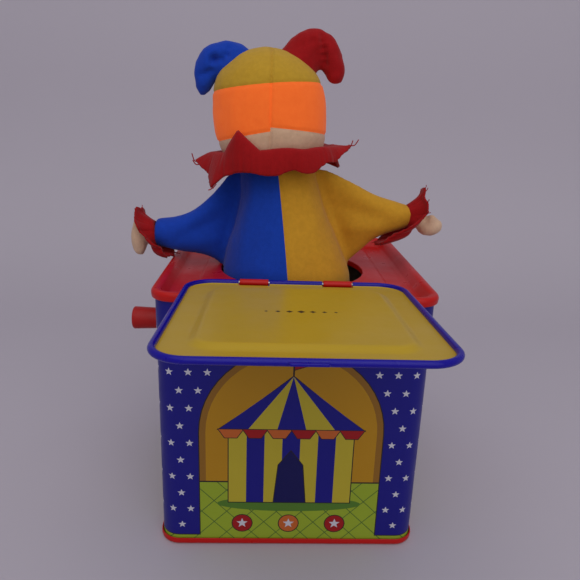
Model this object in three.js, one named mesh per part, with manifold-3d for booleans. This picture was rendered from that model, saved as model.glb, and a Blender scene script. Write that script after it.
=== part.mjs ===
// Tin jack-in-the-box: a rounded square tin with a hinged lid, a hand crank that turns a small pinned-drum
// music movement, a latch that the movement releases, and a felt clown on a coil spring.
// Millimetres, +Z up. The origin is the middle of the tin's underside. The clown faces -Y, the crank is on
// +X, and the lid is hinged on the +Y side. Everything stands popped up: lid thrown back, clown out.
import * as THREE from "three";
import { mergeVertices } from "three/addons/utils/BufferGeometryUtils.js";
import Module from "manifold-3d";

const wasm = await Module();
wasm.setup();

// ---------------------------------------------------------------- driving dimensions
const bodyHalf = 66; // half the width of the square tin
const bodyHeight = 138; // to the crest of the top plate's rim
const bodyCorner = 9.5; // corner radius of the tin
const tin = 0.5; // body sheet
const plateTin = 0.6; // sheet of the pressed top, base and lid
const gap = 0.3; // clearance between neighbours

const trayDrop = 5.6; // crest of the rim to the floor of the tray
const panelRise = 1.0; // raised middle of the tray
const panelHalf = 48;
const holeRadius = 40; // the clown's hole in the tray

const lidHalf = 52;
const lidCorner = 14;
const beadRadius = 1.35; // rolled edge of the lid
const lidPressing = 1.6; // depth of the pressed rectangle in the lid
const lidPressingHalf = 38;
const lidOpen = THREE.MathUtils.degToRad(177.2); // from shut to thrown back over the rim
const hingeY = lidHalf - beadRadius;
const hingeZ = bodyHeight + 0.8;
const hingeWireRadius = 0.8;
const hingeBore = hingeWireRadius + 0.22;
const tabX = 20; // centre of each hinge tab, either side
const tabHalf = 6.8;

const crankZ = 72; // height of the crank's axle
const crankThrow = 29; // axle to knob
const shaftRadius = 2;
const toothModule = 1;
const pinionTeeth = 12;
const drumTeeth = 30;
const drumY = (-toothModule * (pinionTeeth + drumTeeth)) / 2; // centre distance, towards the front
const plateX = [45, 64]; // inner faces of the movement's two side plates start here
const plateThick = 1.1;
const gearX = [58.8, 61.8];

const latchY = -58.2; // axis of the latch rod
const latchZ = 112;
const latchReleased = THREE.MathUtils.degToRad(6);
const leverPivot = [-38, 106]; // y, z
const leverReleased = THREE.MathUtils.degToRad(-3.7);

const headCentre = new THREE.Vector3(13.5, 0, 216);
const headRadii = [30.6, 29, 31.5];
const headRoll = THREE.MathUtils.degToRad(5);
const neckZ = 188;
const seatTop = 2.1; // top of the disc that the spring stands on
const costumeThick = 1.2;

// ---------------------------------------------------------------- helpers
const round = 16; // sides of a small cylinder

// A BufferGeometry from rings of equally many points: a closed loop of rings, or an open run whose ends
// are capped.
function loft(rings, loop = false) {
  const count = rings[0].length;
  const positions = rings.flat().flatMap((p) => [p.x, p.y, p.z]);
  const index = [];
  const bands = loop ? rings.length : rings.length - 1;
  for (let r = 0; r < bands; r++) {
    for (let i = 0; i < count; i++) {
      const next = ((r + 1) % rings.length) * count;
      const [a, b] = [r * count + i, r * count + ((i + 1) % count)];
      const [c, d] = [next + i, next + ((i + 1) % count)];
      index.push(a, b, d, a, d, c);
    }
  }
  if (!loop) {
    for (const r of [0, rings.length - 1]) {
      const centre = rings[r].reduce((sum, p) => sum.add(p), new THREE.Vector3()).divideScalar(count);
      const hub = positions.push(centre.x, centre.y, centre.z) / 3 - 1;
      for (let i = 0; i < count; i++) {
        const [a, b] = [r * count + i, r * count + ((i + 1) % count)];
        index.push(...(r === 0 ? [hub, b, a] : [hub, a, b]));
      }
    }
  }
  const geometry = new THREE.BufferGeometry();
  geometry.setAttribute("position", new THREE.Float32BufferAttribute(positions, 3));
  geometry.setIndex(index);
  return facingOut(geometry);
}

// Turns every face round if the closed surface is inside out.
function facingOut(geometry) {
  const p = geometry.getAttribute("position");
  const index = geometry.getIndex();
  const corner = (k) => new THREE.Vector3().fromBufferAttribute(p, index.getX(k));
  let volume = 0;
  for (let k = 0; k < index.count; k += 3) {
    volume += corner(k).dot(corner(k + 1).cross(corner(k + 2)));
  }
  if (volume < 0) {
    for (let k = 0; k < index.count; k += 3) {
      const keep = index.getX(k + 1);
      index.setX(k + 1, index.getX(k + 2));
      index.setX(k + 2, keep);
    }
  }
  return geometry;
}

function solid(geometry) {
  const bare = new THREE.BufferGeometry();
  bare.setAttribute("position", geometry.getAttribute("position"));
  bare.setIndex(geometry.getIndex());
  const merged = mergeVertices(bare, 1e-4);
  return new wasm.Manifold(
    new wasm.Mesh({
      numProp: 3,
      vertProperties: new Float32Array(merged.getAttribute("position").array),
      triVerts: new Uint32Array(merged.getIndex().array),
    }),
  );
}

function shape(manifold) {
  const mesh = manifold.getMesh();
  const geometry = new THREE.BufferGeometry();
  geometry.setAttribute("position", new THREE.BufferAttribute(mesh.vertProperties, 3));
  geometry.setIndex(new THREE.BufferAttribute(mesh.triVerts, 1));
  return geometry;
}

const join = (first, ...rest) => shape(rest.reduce((sum, g) => sum.add(solid(g)), solid(first)));
const cut = (first, ...rest) => shape(rest.reduce((sum, g) => sum.subtract(solid(g)), solid(first)));
const common = (a, b) => shape(solid(a).intersect(solid(b)));

function box([x0, x1], [y0, y1], [z0, z1]) {
  const g = new THREE.BoxGeometry(x1 - x0, y1 - y0, z1 - z0);
  return g.translate((x0 + x1) / 2, (y0 + y1) / 2, (z0 + z1) / 2);
}

// A solid of revolution about a line parallel to X through (y, z). The profile is [[x, radius], ...] and both
// its ends lie on that line.
function turnedX(profile, y, z, sides = round) {
  const g = new THREE.LatheGeometry(profile.map(([x, r]) => new THREE.Vector2(r, x)), sides);
  g.rotateZ(-Math.PI / 2);
  return facingOut(mergeIndexed(g)).translate(0, y, z);
}

function turnedZ(profile, x, y, sides = round) {
  const g = new THREE.LatheGeometry(profile.map(([z, r]) => new THREE.Vector2(r, z)), sides);
  g.rotateX(Math.PI / 2);
  return facingOut(mergeIndexed(g)).translate(x, y, 0);
}

function mergeIndexed(g) {
  g.deleteAttribute("normal");
  g.deleteAttribute("uv");
  const merged = mergeVertices(g, 1e-4);
  const index = merged.getIndex();
  const kept = [];
  for (let k = 0; k < index.count; k += 3) {
    const [a, b, c] = [index.getX(k), index.getX(k + 1), index.getX(k + 2)];
    if (a !== b && b !== c && a !== c) kept.push(a, b, c);
  }
  merged.setIndex(kept);
  return merged;
}

const rodX = ([x0, x1], radius, y, z, sides = round) =>
  turnedX([[x0, 0], [x0, radius], [x1, radius], [x1, 0]], y, z, sides);
const rodZ = ([z0, z1], radius, x, y, sides = round) =>
  turnedZ([[z0, 0], [z0, radius], [z1, radius], [z1, 0]], x, y, sides);

// A flat plate across X with an outline in (y, z), and round holes [[y, z, radius], ...].
function plateAcrossX([x0, x1], outline, holes = []) {
  const points = outline.map(([y, z]) => new THREE.Vector2(y, z));
  if (THREE.ShapeUtils.isClockWise(points)) points.reverse();
  const flat = new THREE.Shape(points);
  for (const [y, z, r] of holes) {
    flat.holes.push(new THREE.Path().absarc(y, z, r, 0, 2 * Math.PI, true));
  }
  const g = new THREE.ExtrudeGeometry(flat, { depth: x1 - x0, bevelEnabled: false, curveSegments: 6 });
  // shape (x, y, depth) becomes (y, z, x)
  const turn = new THREE.Matrix4().makeBasis(
    new THREE.Vector3(0, 1, 0),
    new THREE.Vector3(0, 0, 1),
    new THREE.Vector3(1, 0, 0),
  );
  return facingOut(mergeIndexed(g.applyMatrix4(turn))).translate(x0, 0, 0);
}

// One ring of a rounded square, 8 points a side, matched point for point by circleRing.
const arcSteps = 4;
function squareRing(half, corner, z) {
  const r = Math.max(0.6, corner);
  const straight = half - r;
  const ring = [];
  for (let side = 0; side < 4; side++) {
    const turn = (side * Math.PI) / 2;
    const place = (x, y) =>
      ring.push(
        new THREE.Vector3(
          x * Math.cos(turn) - y * Math.sin(turn),
          x * Math.sin(turn) + y * Math.cos(turn),
          z,
        ),
      );
    for (const share of [-0.5, 0, 0.5]) place(half, share * straight);
    for (let k = 0; k <= arcSteps; k++) {
      const a = (k / arcSteps) * (Math.PI / 2);
      place(straight + r * Math.cos(a), straight + r * Math.sin(a));
    }
  }
  return ring;
}

function circleRing(radius, z) {
  const count = 4 * (arcSteps + 4);
  return Array.from({ length: count }, (_, i) => {
    const a = ((i - 1) * 2 * Math.PI) / count;
    return new THREE.Vector3(radius * Math.cos(a), radius * Math.sin(a), z);
  });
}

// An upright oval ring across X: centre (x, y, z), half width in y and half height in z.
function ovalRing(x, y, z, halfY, halfZ, count = 16) {
  return Array.from({ length: count }, (_, i) => {
    const a = (i * 2 * Math.PI) / count;
    return new THREE.Vector3(x, y + halfY * Math.cos(a), z + halfZ * Math.sin(a));
  });
}

const colours = {
  blueTin: [0x1b2390, 0.35, 0.3],
  redTin: [0xb3201c, 0.35, 0.3],
  yellowTin: [0xc7a42c, 0.4, 0.3],
  steel: [0xb8b8bc, 0.35, 0.9],
  brass: [0xc9a24a, 0.35, 0.9],
  redPlastic: [0xa81a18, 0.4, 0],
  whitePlastic: [0xe6e2d8, 0.5, 0],
  blueFelt: [0x1c3a9c, 0.9, 0],
  yellowFelt: [0xc8961e, 0.9, 0],
  redFelt: [0xa5181c, 0.95, 0],
  orangeFelt: [0xe8622a, 0.95, 0],
  skinFelt: [0xd6b79c, 0.9, 0],
  blackFelt: [0x18181a, 0.8, 0],
};
const materials = Object.fromEntries(
  Object.entries(colours).map(([name, [color, roughness, metalness]]) => [
    name,
    new THREE.MeshStandardMaterial({ color, roughness, metalness }),
  ]),
);

const toy = new THREE.Group();

function add(name, geometry, material, parent = toy) {
  const mesh = new THREE.Mesh(geometry, materials[material]);
  mesh.name = name;
  parent.add(mesh);
  return mesh;
}

// A group that turns its contents by an angle about a line parallel to X through (y, z).
function turnedAboutX(angle, y, z) {
  const outer = new THREE.Group();
  outer.position.set(0, y, z);
  outer.rotation.x = angle;
  const inner = new THREE.Group();
  inner.position.set(0, -y, -z);
  outer.add(inner);
  toy.add(outer);
  return inner;
}

// ---------------------------------------------------------------- tin box
const screwPlaces = [[-36, 54], [-36, 88], [8, 54], [8, 88]]; // y, z of the movement's screws
const screwHole = 1.6;
const bushHole = 4.5;

// The body is one sheet wrapped round into a square tube, pierced for the crank's bush and the four screws.
function boxShell() {
  const [low, high] = [1.0, bodyHeight - 1.2];
  const ring = (half, z) => squareRing(half, bodyCorner + half - bodyHalf, z);
  const inner = bodyHalf - tin;
  const tube = loft([ring(bodyHalf, low), ring(bodyHalf, high), ring(inner, high), ring(inner, low)], true);
  const across = [inner - 2, bodyHalf + 2];
  const holes = screwPlaces.map(([y, z]) => rodX(across, screwHole, y, z));
  return cut(tube, rodX(across, bushHole, 0, crankZ), ...holes);
}

// The base is a shallow pan pressed over the body's lower edge. Its middle is pressed back to the standing
// plane.
function basePlate() {
  const t = plateTin;
  const outside = [
    [67.0, 3.6], [67.1, 1.2], [66.5, 0.3], [65.4, 0], [62, 0], [61, 0.9], [57, 0.9], [56, 0], [8, 0],
  ];
  const inside = [
    [8, t], [56, t], [57, 0.9 + t], [61, 0.9 + t], [62, t], [64.8, t], [66.2, 0.9], [66.4, 3.6],
  ];
  const rings = [...outside, ...inside].map(([half, z]) => squareRing(half, bodyCorner + half - bodyHalf, z));
  const pan = loftPan(rings, outside.length);
  return cut(pan, ...seatRivets.map(([x, y]) => rodZ([-1, 2], rivetHole, x, y)));
}

// A pan: rings run from the brim in to the middle of one face and back out from the middle of the other.
function loftPan(rings, middle) {
  const from = [...rings.slice(middle), ...rings.slice(0, middle)];
  return loft(from);
}

// The top is a tray with a rolled rim, a channel, a raised middle and a turned-down hole. Two tabs curl round
// hinge wire, and a slot lets the latch through.
const trayFloor = bodyHeight - trayDrop;
const slotY = [-59.9, -55.4];
function topPlate() {
  const h = bodyHeight;
  const panel = trayFloor + panelRise;
  const square = [
    [67.2, h - 4.4], [67.4, h - 1.6], [67.0, h - 0.5], [66.0, h], [64.4, h], [63.2, h - 0.7],
    [60.8, h - 5.0], [59.6, trayFloor], [49.4, trayFloor], [panelHalf, panel],
  ];
  const hole = [[holeRadius + 0.8, panel], [holeRadius, panel - 0.6], [holeRadius, panel - 3]];
  const under = [
    [panelHalf + 0.3, panel - plateTin], [49.7, trayFloor - plateTin], [59.9, trayFloor - plateTin],
    [61.3, h - 5.2], [63.7, h - 1.1], [64.7, h - 0.6], [65.8, h - 0.6], [66.5, h - 0.9], [66.8, h - 1.7],
    [66.6, h - 4.4],
  ];
  const ring = ([half, z]) => squareRing(half, bodyCorner + half - bodyHalf, z);
  const rings = [
    ...square.map(ring),
    ...hole.map(([r, z]) => circleRing(r, z)),
    circleRing(holeRadius + plateTin, panel - 3),
    circleRing(holeRadius + plateTin + 0.4, panel - 0.9),
    ...under.map(ring),
  ];
  const pressed = loft(rings, true);
  const tabs = [-tabX, tabX].map((x) => {
    const across = [x - tabHalf, x + tabHalf];
    const curl = rodX(across, 1.7, hingeY, hingeZ);
    const leg = box(across, [hingeY - 1.7, hingeY - 1.1], [trayFloor - plateTin / 2, hingeZ]);
    return cut(join(curl, leg), rodX([x - tabHalf - 1, x + tabHalf + 1], 0.95, hingeY, hingeZ));
  });
  return cut(join(pressed, ...tabs), box([-5.2, 5.2], slotY, [trayFloor - 3, trayFloor + 3]));
}

// The lid, drawn shut: a pressed panel whose edge is rolled down into a bead. The hinge side is bored
// for the wire and notched for the tabs, and the free side has a lip for the latch.
function lid() {
  const top = hingeZ + beadRadius - 0.05;
  const under = top - plateTin;
  const [inner, outer] = [lidPressingHalf - 0.6, lidPressingHalf + 1.9];
  const panelEdge = lidHalf - 4.2;
  const beadCentre = lidHalf - beadRadius;
  const bead = [100, 60, 20, -20, -60, -100, -140, -180, 158].map((degrees) => {
    const a = THREE.MathUtils.degToRad(degrees);
    return [beadCentre + beadRadius * Math.cos(a), hingeZ + beadRadius * Math.sin(a)];
  });
  const ring = ([half, z]) => squareRing(half, lidCorner + half - lidHalf, z);
  const pressing = (half, z) => squareRing(half, 8 + half - lidPressingHalf, z);
  const rings = [
    squareRing(8, 4, top - lidPressing), pressing(inner, top - lidPressing), pressing(outer, top),
    ...[[panelEdge, top], ...bead, [panelEdge, under]].map(ring),
    pressing(outer + 0.3, under), pressing(inner + 0.3, under - lidPressing),
    squareRing(8, 4, under - lidPressing),
  ];
  const notches = [-tabX, tabX].map((x) =>
    box([x - tabHalf - 0.6, x + tabHalf + 0.6], [hingeY - 2.6, lidHalf + 1], [hingeZ - 3, hingeZ + 3]),
  );
  const lip = box([-6.5, 6.5], [-lidHalf - 1.3, -lidHalf + 0.8], [hingeZ - 0.6, hingeZ + 0.6]);
  return cut(join(loft(rings), lip), rodX([-36.6, 36.6], hingeBore, hingeY, hingeZ), ...notches);
}

// ---------------------------------------------------------------- crank
const knobZ = crankZ + crankThrow;
const knobX = [74, 90.7];

// A flanged bush that lines the hole in the tin.
const crankBush = () =>
  turnedX(
    [
      [65.45, 2.2], [67.9, 2.2], [67.9, 5.6], [67.4, 6.3], [66.3, 6.3], [66.3, 4.2], [65.45, 4.2],
      [65.45, 2.2],
    ],
    0,
    crankZ,
  );

function crankArm() {
  const half = 4.6;
  const steps = 10;
  const arc = (z, start) =>
    Array.from({ length: steps + 1 }, (_, k) => {
      const a = start + (k * Math.PI) / steps;
      return [half * Math.cos(a), z + half * Math.sin(a)];
    });
  const outline = [...arc(knobZ, 0), ...arc(crankZ, Math.PI)];
  return plateAcrossX([70.2, 72.2], outline, [[0, crankZ, shaftRadius + gap], [0, knobZ, 1.9]]);
}

// The shaft runs through the movement, and its outer end is riveted over the arm.
const crankShaft = () =>
  turnedX(
    [[44.2, 0], [44.2, shaftRadius], [72.5, shaftRadius], [72.6, 3.1], [73.2, 2.4], [73.4, 0]],
    0,
    crankZ,
  );

const knobPin = () =>
  turnedX(
    [[68.7, 0], [68.7, 2.7], [69.8, 2.7], [69.8, 1.6], [89.0, 1.6], [89.0, 2.6], [89.9, 2.2], [90.1, 0]],
    0,
    knobZ,
  );

// The knob is a slightly tapered plastic barrel, free on its pin, with a counterbore for the pin's head.
function crankKnob() {
  const [x0, x1] = knobX;
  const profile = [
    [x0, 1.9], [x0, 5.3], [x0 + 0.6, 5.9], [x1 - 1.2, 6.5], [x1 - 0.3, 6.2], [x1, 5.4],
    [x1, 3.2], [x1 - 2.1, 3.2], [x1 - 2.1, 1.9], [x0, 1.9],
  ];
  return turnedX(profile, 0, knobZ);
}

// ---------------------------------------------------------------- music movement
// A spur gear across X with involute flanks, thinned a little so that a meshing pair has backlash.
function gear(teeth, y, z, bore, firstTooth) {
  const pitch = (toothModule * teeth) / 2;
  const pressure = THREE.MathUtils.degToRad(20);
  const base = pitch * Math.cos(pressure);
  const tip = pitch + 0.85 * toothModule;
  const root = pitch - 1.2 * toothModule;
  const involute = (r) => {
    const a = Math.acos(Math.min(1, base / r));
    return Math.tan(a) - a;
  };
  const backlash = 0.26;
  const halfAtPitch = Math.PI / 2 / teeth - backlash / 2 / pitch;
  const halfAt = (r) => halfAtPitch + involute(pitch) - involute(r);
  const start = Math.max(base, root + 0.05);
  const radii = [start, pitch, tip];
  const outline = [];
  for (let tooth = 0; tooth < teeth; tooth++) {
    const middle = firstTooth + (tooth * 2 * Math.PI) / teeth;
    const flank = [[root, halfAt(start) + 0.1 / root], ...radii.map((r) => [r, halfAt(r)])];
    for (const [r, half] of flank) {
      outline.push([y + r * Math.cos(middle - half), z + r * Math.sin(middle - half)]);
    }
    for (const [r, half] of [...flank].reverse()) {
      outline.push([y + r * Math.cos(middle + half), z + r * Math.sin(middle + half)]);
    }
  }
  return plateAcrossX(gearX, outline, [[y, z, bore]]);
}

// Two side plates on a floor, with a shelf for the comb and an ear for the release lever.
function movementFrame() {
  const [inX, outX] = plateX;
  const side = [[-40, 50], [12, 50], [12, 92], [-32.5, 92]];
  const bearings = [[0, crankZ, shaftRadius + gap], [drumY, crankZ, 1.8]];
  const inner = plateAcrossX(
    [inX, inX + plateThick],
    [...side, [-32.5, 111], [-43, 111], [-43, 92], [-40, 88]],
    [...bearings, [...leverPivot, 1.8]],
  );
  const outer = plateAcrossX(
    [outX, outX + plateThick],
    [...side, [-40, 92]],
    [...bearings, ...screwPlaces.map(([y, z]) => [y, z, screwHole])],
  );
  const floor = box([inX, outX + plateThick], [-40, 12], [50, 50 + plateThick]);
  const shelf = box([inX + 0.5, 58.3], [-6, 8], [58.9, 60.1]);
  const holes = combScrews.map(([x, y]) => rodZ([58, 61], 1.1, x, y));
  return cut(join(inner, outer, floor, shelf), ...holes);
}

const drumX = [49.4, 58.4];
const drumRadius = 9;

// The music drum: a plastic cylinder with short pins in rows, one row to each tooth of the comb.
function musicDrum() {
  const rows = 10;
  const pitch = (drumX[1] - drumX[0] - 0.8) / rows;
  const pins = [];
  for (let row = 0; row < rows; row++) {
    const x = drumX[0] + 0.4 + (row + 0.5) * pitch;
    for (let k = 0; k < 3; k++) {
      const pin = new THREE.BoxGeometry(0.45, 0.5, 2.4).translate(0, 0, drumRadius);
      pin.rotateX(((row * 7 + k * 11) % 30) * (Math.PI / 15));
      pins.push(pin.translate(x, drumY, crankZ));
    }
  }
  return cut(join(rodX(drumX, drumRadius, drumY, crankZ), ...pins), rodX([48, 60], 1.8, drumY, crankZ));
}

// A disc with one lobe. It points away from the release lever here, and swings it once a turn.
const lobeAngle = THREE.MathUtils.degToRad(7);
function releaseCam() {
  const steps = 30;
  const outline = Array.from({ length: steps }, (_, k) => {
    const a = (k * 2 * Math.PI) / steps;
    const lobe = Math.max(0, Math.cos(a - lobeAngle));
    const r = 9.8 + 2.4 * lobe ** 6;
    return [drumY + r * Math.cos(a), crankZ + r * Math.sin(a)];
  });
  return plateAcrossX([47.0, 48.9], outline, [[drumY, crankZ, 1.8]]);
}

const combScrews = [[51.6, 3], [56.2, 3]]; // x, y

// The comb: a steel plate slit into ten reeds whose tips lie under the drum.
function musicComb() {
  const plate = box([49.5, 58.3], [-21.5, 7], [60.5, 61.4]);
  const slits = Array.from({ length: 9 }, (_, k) => {
    const x = 49.5 + ((k + 1) * 8.8) / 10;
    return box([x - 0.15, x + 0.15], [-22, -6 - 0.6 * k], [60, 62]);
  });
  return cut(plate, ...slits, ...combScrews.map(([x, y]) => rodZ([60, 62], 1.2, x, y)));
}

const combScrew = ([x, y]) =>
  turnedZ([[57.6, 0], [57.6, 0.85], [61.7, 0.85], [61.7, 1.9], [62.6, 1.6], [62.8, 0]], x, y, 16);

const frameScrew = ([y, z]) =>
  turnedX([[62.6, 0], [62.6, 1.3], [66.3, 1.3], [66.3, 2.7], [67.2, 2.3], [67.6, 1.2], [67.7, 0]], y, z, 16);

// ---------------------------------------------------------------- lid latch and its release
// A bell crank: the long arm lies against the cam, and the short arm lifts the latch's tail.
function releaseLever() {
  const [py, pz] = leverPivot;
  const outline = [
    [py + 2.6, pz - 2], [py + 7.1, pz - 38], [py + 3.9, pz - 38], [py - 3.2, pz - 1.2], [py - 13.6, pz + 1.6],
    [py - 13.6, pz + 4.6], [py - 1, pz + 3.6], [py + 3.4, pz + 1.2],
  ];
  return plateAcrossX([46.9, 48.9], outline, [[py, pz, 1.8]]);
}

const leverPin = () =>
  turnedX(
    [[44.1, 0], [44.1, 2.4], [44.7, 2.4], [44.7, 1.5], [49.2, 1.5], [49.2, 2.6], [50.0, 2.2], [50.0, 0]],
    ...leverPivot,
  );

// The latch, drawn engaged: a rod across the front wall with a hook in the middle and a tail at the movement.
function lidLatch() {
  const hookZ = hingeZ + beadRadius + 0.5; // just over the shut lid's lip
  const rod = rodX([-12, 50.6], 1.5, latchY, latchZ);
  const stem = box([-4, 4], [latchY + 1.2, latchY + 2.0], [latchZ - 1, hookZ + 0.7]);
  const hook = box([-4, 4], [latchY + 1.2, -lidHalf - 0.2], [hookZ, hookZ + 0.7]);
  const tail = box([46.6, 49.2], [latchY, latchY + 9], [latchZ - 0.8, latchZ + 0.8]);
  return join(rod, stem, hook, tail);
}

function latchBracket(x) {
  const [y0, y1] = [-bodyHalf + tin + 0.4, latchY + 3.6];
  const outline = [[y0, 107.5], [y1, 107.5], [y1, 116.5], [y0, 116.5]];
  const ear = plateAcrossX([x, x + 1], outline, [[latchY, latchZ, 1.8]]);
  return join(ear, box([x, x + 8], [y0, y0 + 1], [107.5, 116.5]));
}

// A helix about a curved axis: radius and centre are given as functions of t from 0 to 1.
class Coil extends THREE.Curve {
  constructor(turns, place) {
    super();
    this.turns = turns;
    this.place = place;
  }
  getPoint(t) {
    return this.place(t, 2 * Math.PI * this.turns * t);
  }
}

function wire(curve, radius, steps, sides = 6) {
  const section = new THREE.Shape().absarc(0, 0, radius, 0, 2 * Math.PI, false);
  const options = { steps, extrudePath: curve, bevelEnabled: false, curveSegments: sides / 2 };
  return facingOut(mergeIndexed(new THREE.ExtrudeGeometry(section, options)));
}

const latchSpring = () =>
  wire(
    new Coil(
      5,
      (t, a) => new THREE.Vector3(8 + 5 * t, latchY + 2.5 * Math.cos(a), latchZ + 2.5 * Math.sin(a)),
    ),
    0.3,
    40,
    4,
  );

// ---------------------------------------------------------------- spring and its seat
const seatRivets = [0, 1, 2].map((k) => {
  const a = (k * 2 * Math.PI) / 3;
  return [12 * Math.cos(a), 12 * Math.sin(a)];
});
const rivetHole = 1.4;

function springSeat() {
  const disc = rodZ([0.9, seatTop], 30, 0, 0, 36);
  return cut(disc, ...seatRivets.map(([x, y]) => rodZ([0, 3], rivetHole, x, y)));
}

const seatRivet = ([x, y]) =>
  turnedZ([[0.1, 0], [0.1, 1.1], [seatTop + gap, 1.1], [seatTop + gap, 2.2], [3.2, 1.6], [3.4, 0]], x, y, 16);

// The spring leans: its axis bends towards +X as it rises.
const leanAt = (z) => headCentre.x * (Math.max(0, z) / headCentre.z) ** 2.1;

function jackSpring() {
  const [low, high] = [seatTop + 1.4, neckZ - 2.6];
  const place = (t, a) => {
    const z = low + (high - low) * t;
    const r = 23.5 - 10.5 * t;
    return new THREE.Vector3(leanAt(z) + r * Math.cos(a), r * Math.sin(a), z);
  };
  return wire(new Coil(11, place), 0.9, 121, 6);
}

// ---------------------------------------------------------------- clown
const neckLean = leanAt(neckZ);

// The costume is a hollow felt cone over the spring. Outer radius at each height:
const costumeProfile = [
  [seatTop + 0.5, 28], [40, 29], [90, 31.5], [120, 34], [134, 33.4], [150, 29.5], [168, 23.5], [181, 19],
  [neckZ, 17.4],
];

function costumeCone(grow = 0) {
  const ring = ([z, r]) =>
    Array.from({ length: 24 }, (_, i) => {
      const a = (i * 2 * Math.PI) / 24;
      return new THREE.Vector3(leanAt(z) + (r + grow) * Math.cos(a), (r + grow) * Math.sin(a), z);
    });
  return costumeProfile.map(ring);
}

function costumeHalf(side) {
  const hollow = loft([...costumeCone(), ...costumeCone(-costumeThick).reverse()], true);
  const seam = costumeProfile.map(([z]) => z);
  // Each half stops just short of the seam, which follows the leaning axis.
  const wedge = loft(
    seam.map((z, k) => {
      const level = k === 0 ? z - 1 : k === seam.length - 1 ? z + 1 : z;
      const x0 = leanAt(z) + side * 0.15;
      const x1 = leanAt(z) + side * 60;
      return [[x0, -60], [x1, -60], [x1, 60], [x0, 60]].map(([x, y]) => new THREE.Vector3(x, y, level));
    }),
  );
  return common(hollow, wedge);
}

// A sleeve is a flattened cone of felt from the costume's side to the wrist: stations [x, z, half y, half z].
const sleeveStations = {
  blue: [
    [26, 163, 13, 22], [38, 160.5, 12, 18.5], [50, 157.6, 10.5, 14], [62, 155, 8.5, 9.5],
    [74.2, 152.5, 6.4, 5.8],
  ],
  yellow: [
    [-9, 165.5, 13, 17], [-22, 165.6, 12, 16.5], [-35, 165.6, 10.5, 14], [-48, 165.6, 8.5, 9.5],
    [-61, 165.2, 6.4, 6.2],
  ],
};

function sleeve(which) {
  const rings = sleeveStations[which].map(([x, z, halfY, halfZ]) => ovalRing(x, 0, z, halfY, halfZ));
  return cut(loft(rings), loft(costumeCone(gap)));
}

// Each wrist: where the arm ends, and the way it points.
const wrists = {
  left: { at: new THREE.Vector3(76.4, 0, 152.1), along: new THREE.Vector3(1, 0, -0.25) },
  right: { at: new THREE.Vector3(-62.3, 0, 165.1), along: new THREE.Vector3(-1, 0, -0.1) },
};

// Places geometry drawn along +X at a wrist.
function atWrist(geometry, { at, along }) {
  const turn = new THREE.Quaternion();
  turn.setFromUnitVectors(new THREE.Vector3(1, 0, 0), along.clone().normalize());
  return geometry.applyQuaternion(turn).translate(at.x, at.y, at.z);
}

const cuffProfile = [[0, 4.4], [0, 6.5], [4.2, 12.6], [5.8, 12.6], [1.8, 4.4], [0, 4.4]];
const cuff = (wrist) => atWrist(turnedX(cuffProfile, 0, 0), wrist);

// A hand is a mitten beyond the cuff, on a narrow neck that is glued inside it: halves are [x, y, z].
function hand({ at, along }, halves, drop) {
  const mitten = new THREE.SphereGeometry(1, 12, 8).scale(...halves);
  mitten.translate(at.x + Math.sign(along.x) * (7.2 + halves[0]), 0, at.z + drop);
  const neckEnd = 7.2 + halves[0];
  const neck = atWrist(turnedX([[1, 0], [1, 2.6], [neckEnd, 2.6], [neckEnd, 0]], 0, 0, 10), { at, along });
  return join(facingOut(mergeIndexed(mitten)), neck);
}

// The collar is a felt ruff cut into points.
function collar() {
  const points = 9;
  const outline = Array.from({ length: points * 2 }, (_, k) => {
    const a = (k * Math.PI) / points;
    const r = k % 2 ? 27 : 40;
    return new THREE.Vector2(r * Math.cos(a), r * Math.sin(a));
  });
  const flat = new THREE.Shape(outline);
  flat.holes.push(new THREE.Path().absarc(0, 0, 19.4, 0, 2 * Math.PI, true));
  const depth = 1.5;
  return mergeIndexed(new THREE.ExtrudeGeometry(flat, { depth, bevelEnabled: false, curveSegments: 16 }));
}

// The head is a stuffed felt ball with a flat neck, in its own upright frame about its centre.
const [headX, headY, headZ] = headRadii;
const neckCut = -26;

function headBall() {
  const ball = new THREE.SphereGeometry(1, 22, 14).rotateX(Math.PI / 2).scale(headX, headY, headZ);
  return common(facingOut(mergeIndexed(ball)), box([-50, 50], [-50, 50], [neckCut, 50]));
}

// The ball is sewn from three cloths: a skin part that is the face and nape, a hair band round the back and
// sides, and the crown of the hat. Bounds are in the head's own frame.
const hatLine = 12.5;
const hairLine = -9.5;
const hairFront = -11; // the band stops here, and the face is in front of it
function headPart(which) {
  const ball = headBall();
  const wide = [-50, 50];
  const band = box(wide, [hairFront, 50], [hairLine, hatLine]);
  if (which === "hat") return common(ball, box(wide, wide, [hatLine + gap, 50]));
  if (which === "hair") return common(ball, band);
  const clearOfBand = box(wide, [hairFront - gap, 50], [hairLine - gap, hatLine + 1]);
  return cut(ball, clearOfBand, box(wide, wide, [hatLine, 50]));
}

// A floppy horn of the hat: a bent cone through the points [x, y, z, radius], in the head's own frame.
function horn(points) {
  const curve = new THREE.CatmullRomCurve3(points.map(([x, y, z]) => new THREE.Vector3(x, y, z)));
  const radii = points.map((p) => p[3]);
  const steps = 9;
  const rings = Array.from({ length: steps + 1 }, (_, k) => {
    const t = k / steps;
    const centre = curve.getPoint(t);
    const ahead = curve.getTangent(t);
    const across = new THREE.Vector3(0, 1, 0);
    const up = new THREE.Vector3().crossVectors(ahead, across).normalize();
    const at = t * (radii.length - 1);
    const i = Math.min(radii.length - 2, Math.floor(at));
    const r = radii[i] + (radii[i + 1] - radii[i]) * (at - i);
    return Array.from({ length: 10 }, (_, j) => {
      const a = (j * Math.PI) / 5;
      return centre.clone().addScaledVector(across, r * Math.cos(a)).addScaledVector(up, r * Math.sin(a));
    });
  });
  const grown = new THREE.SphereGeometry(1, 22, 14).rotateX(Math.PI / 2);
  const clear = facingOut(mergeIndexed(grown.scale(headX + gap, headY + gap, headZ + gap)));
  return cut(loft(rings), clear);
}

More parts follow.
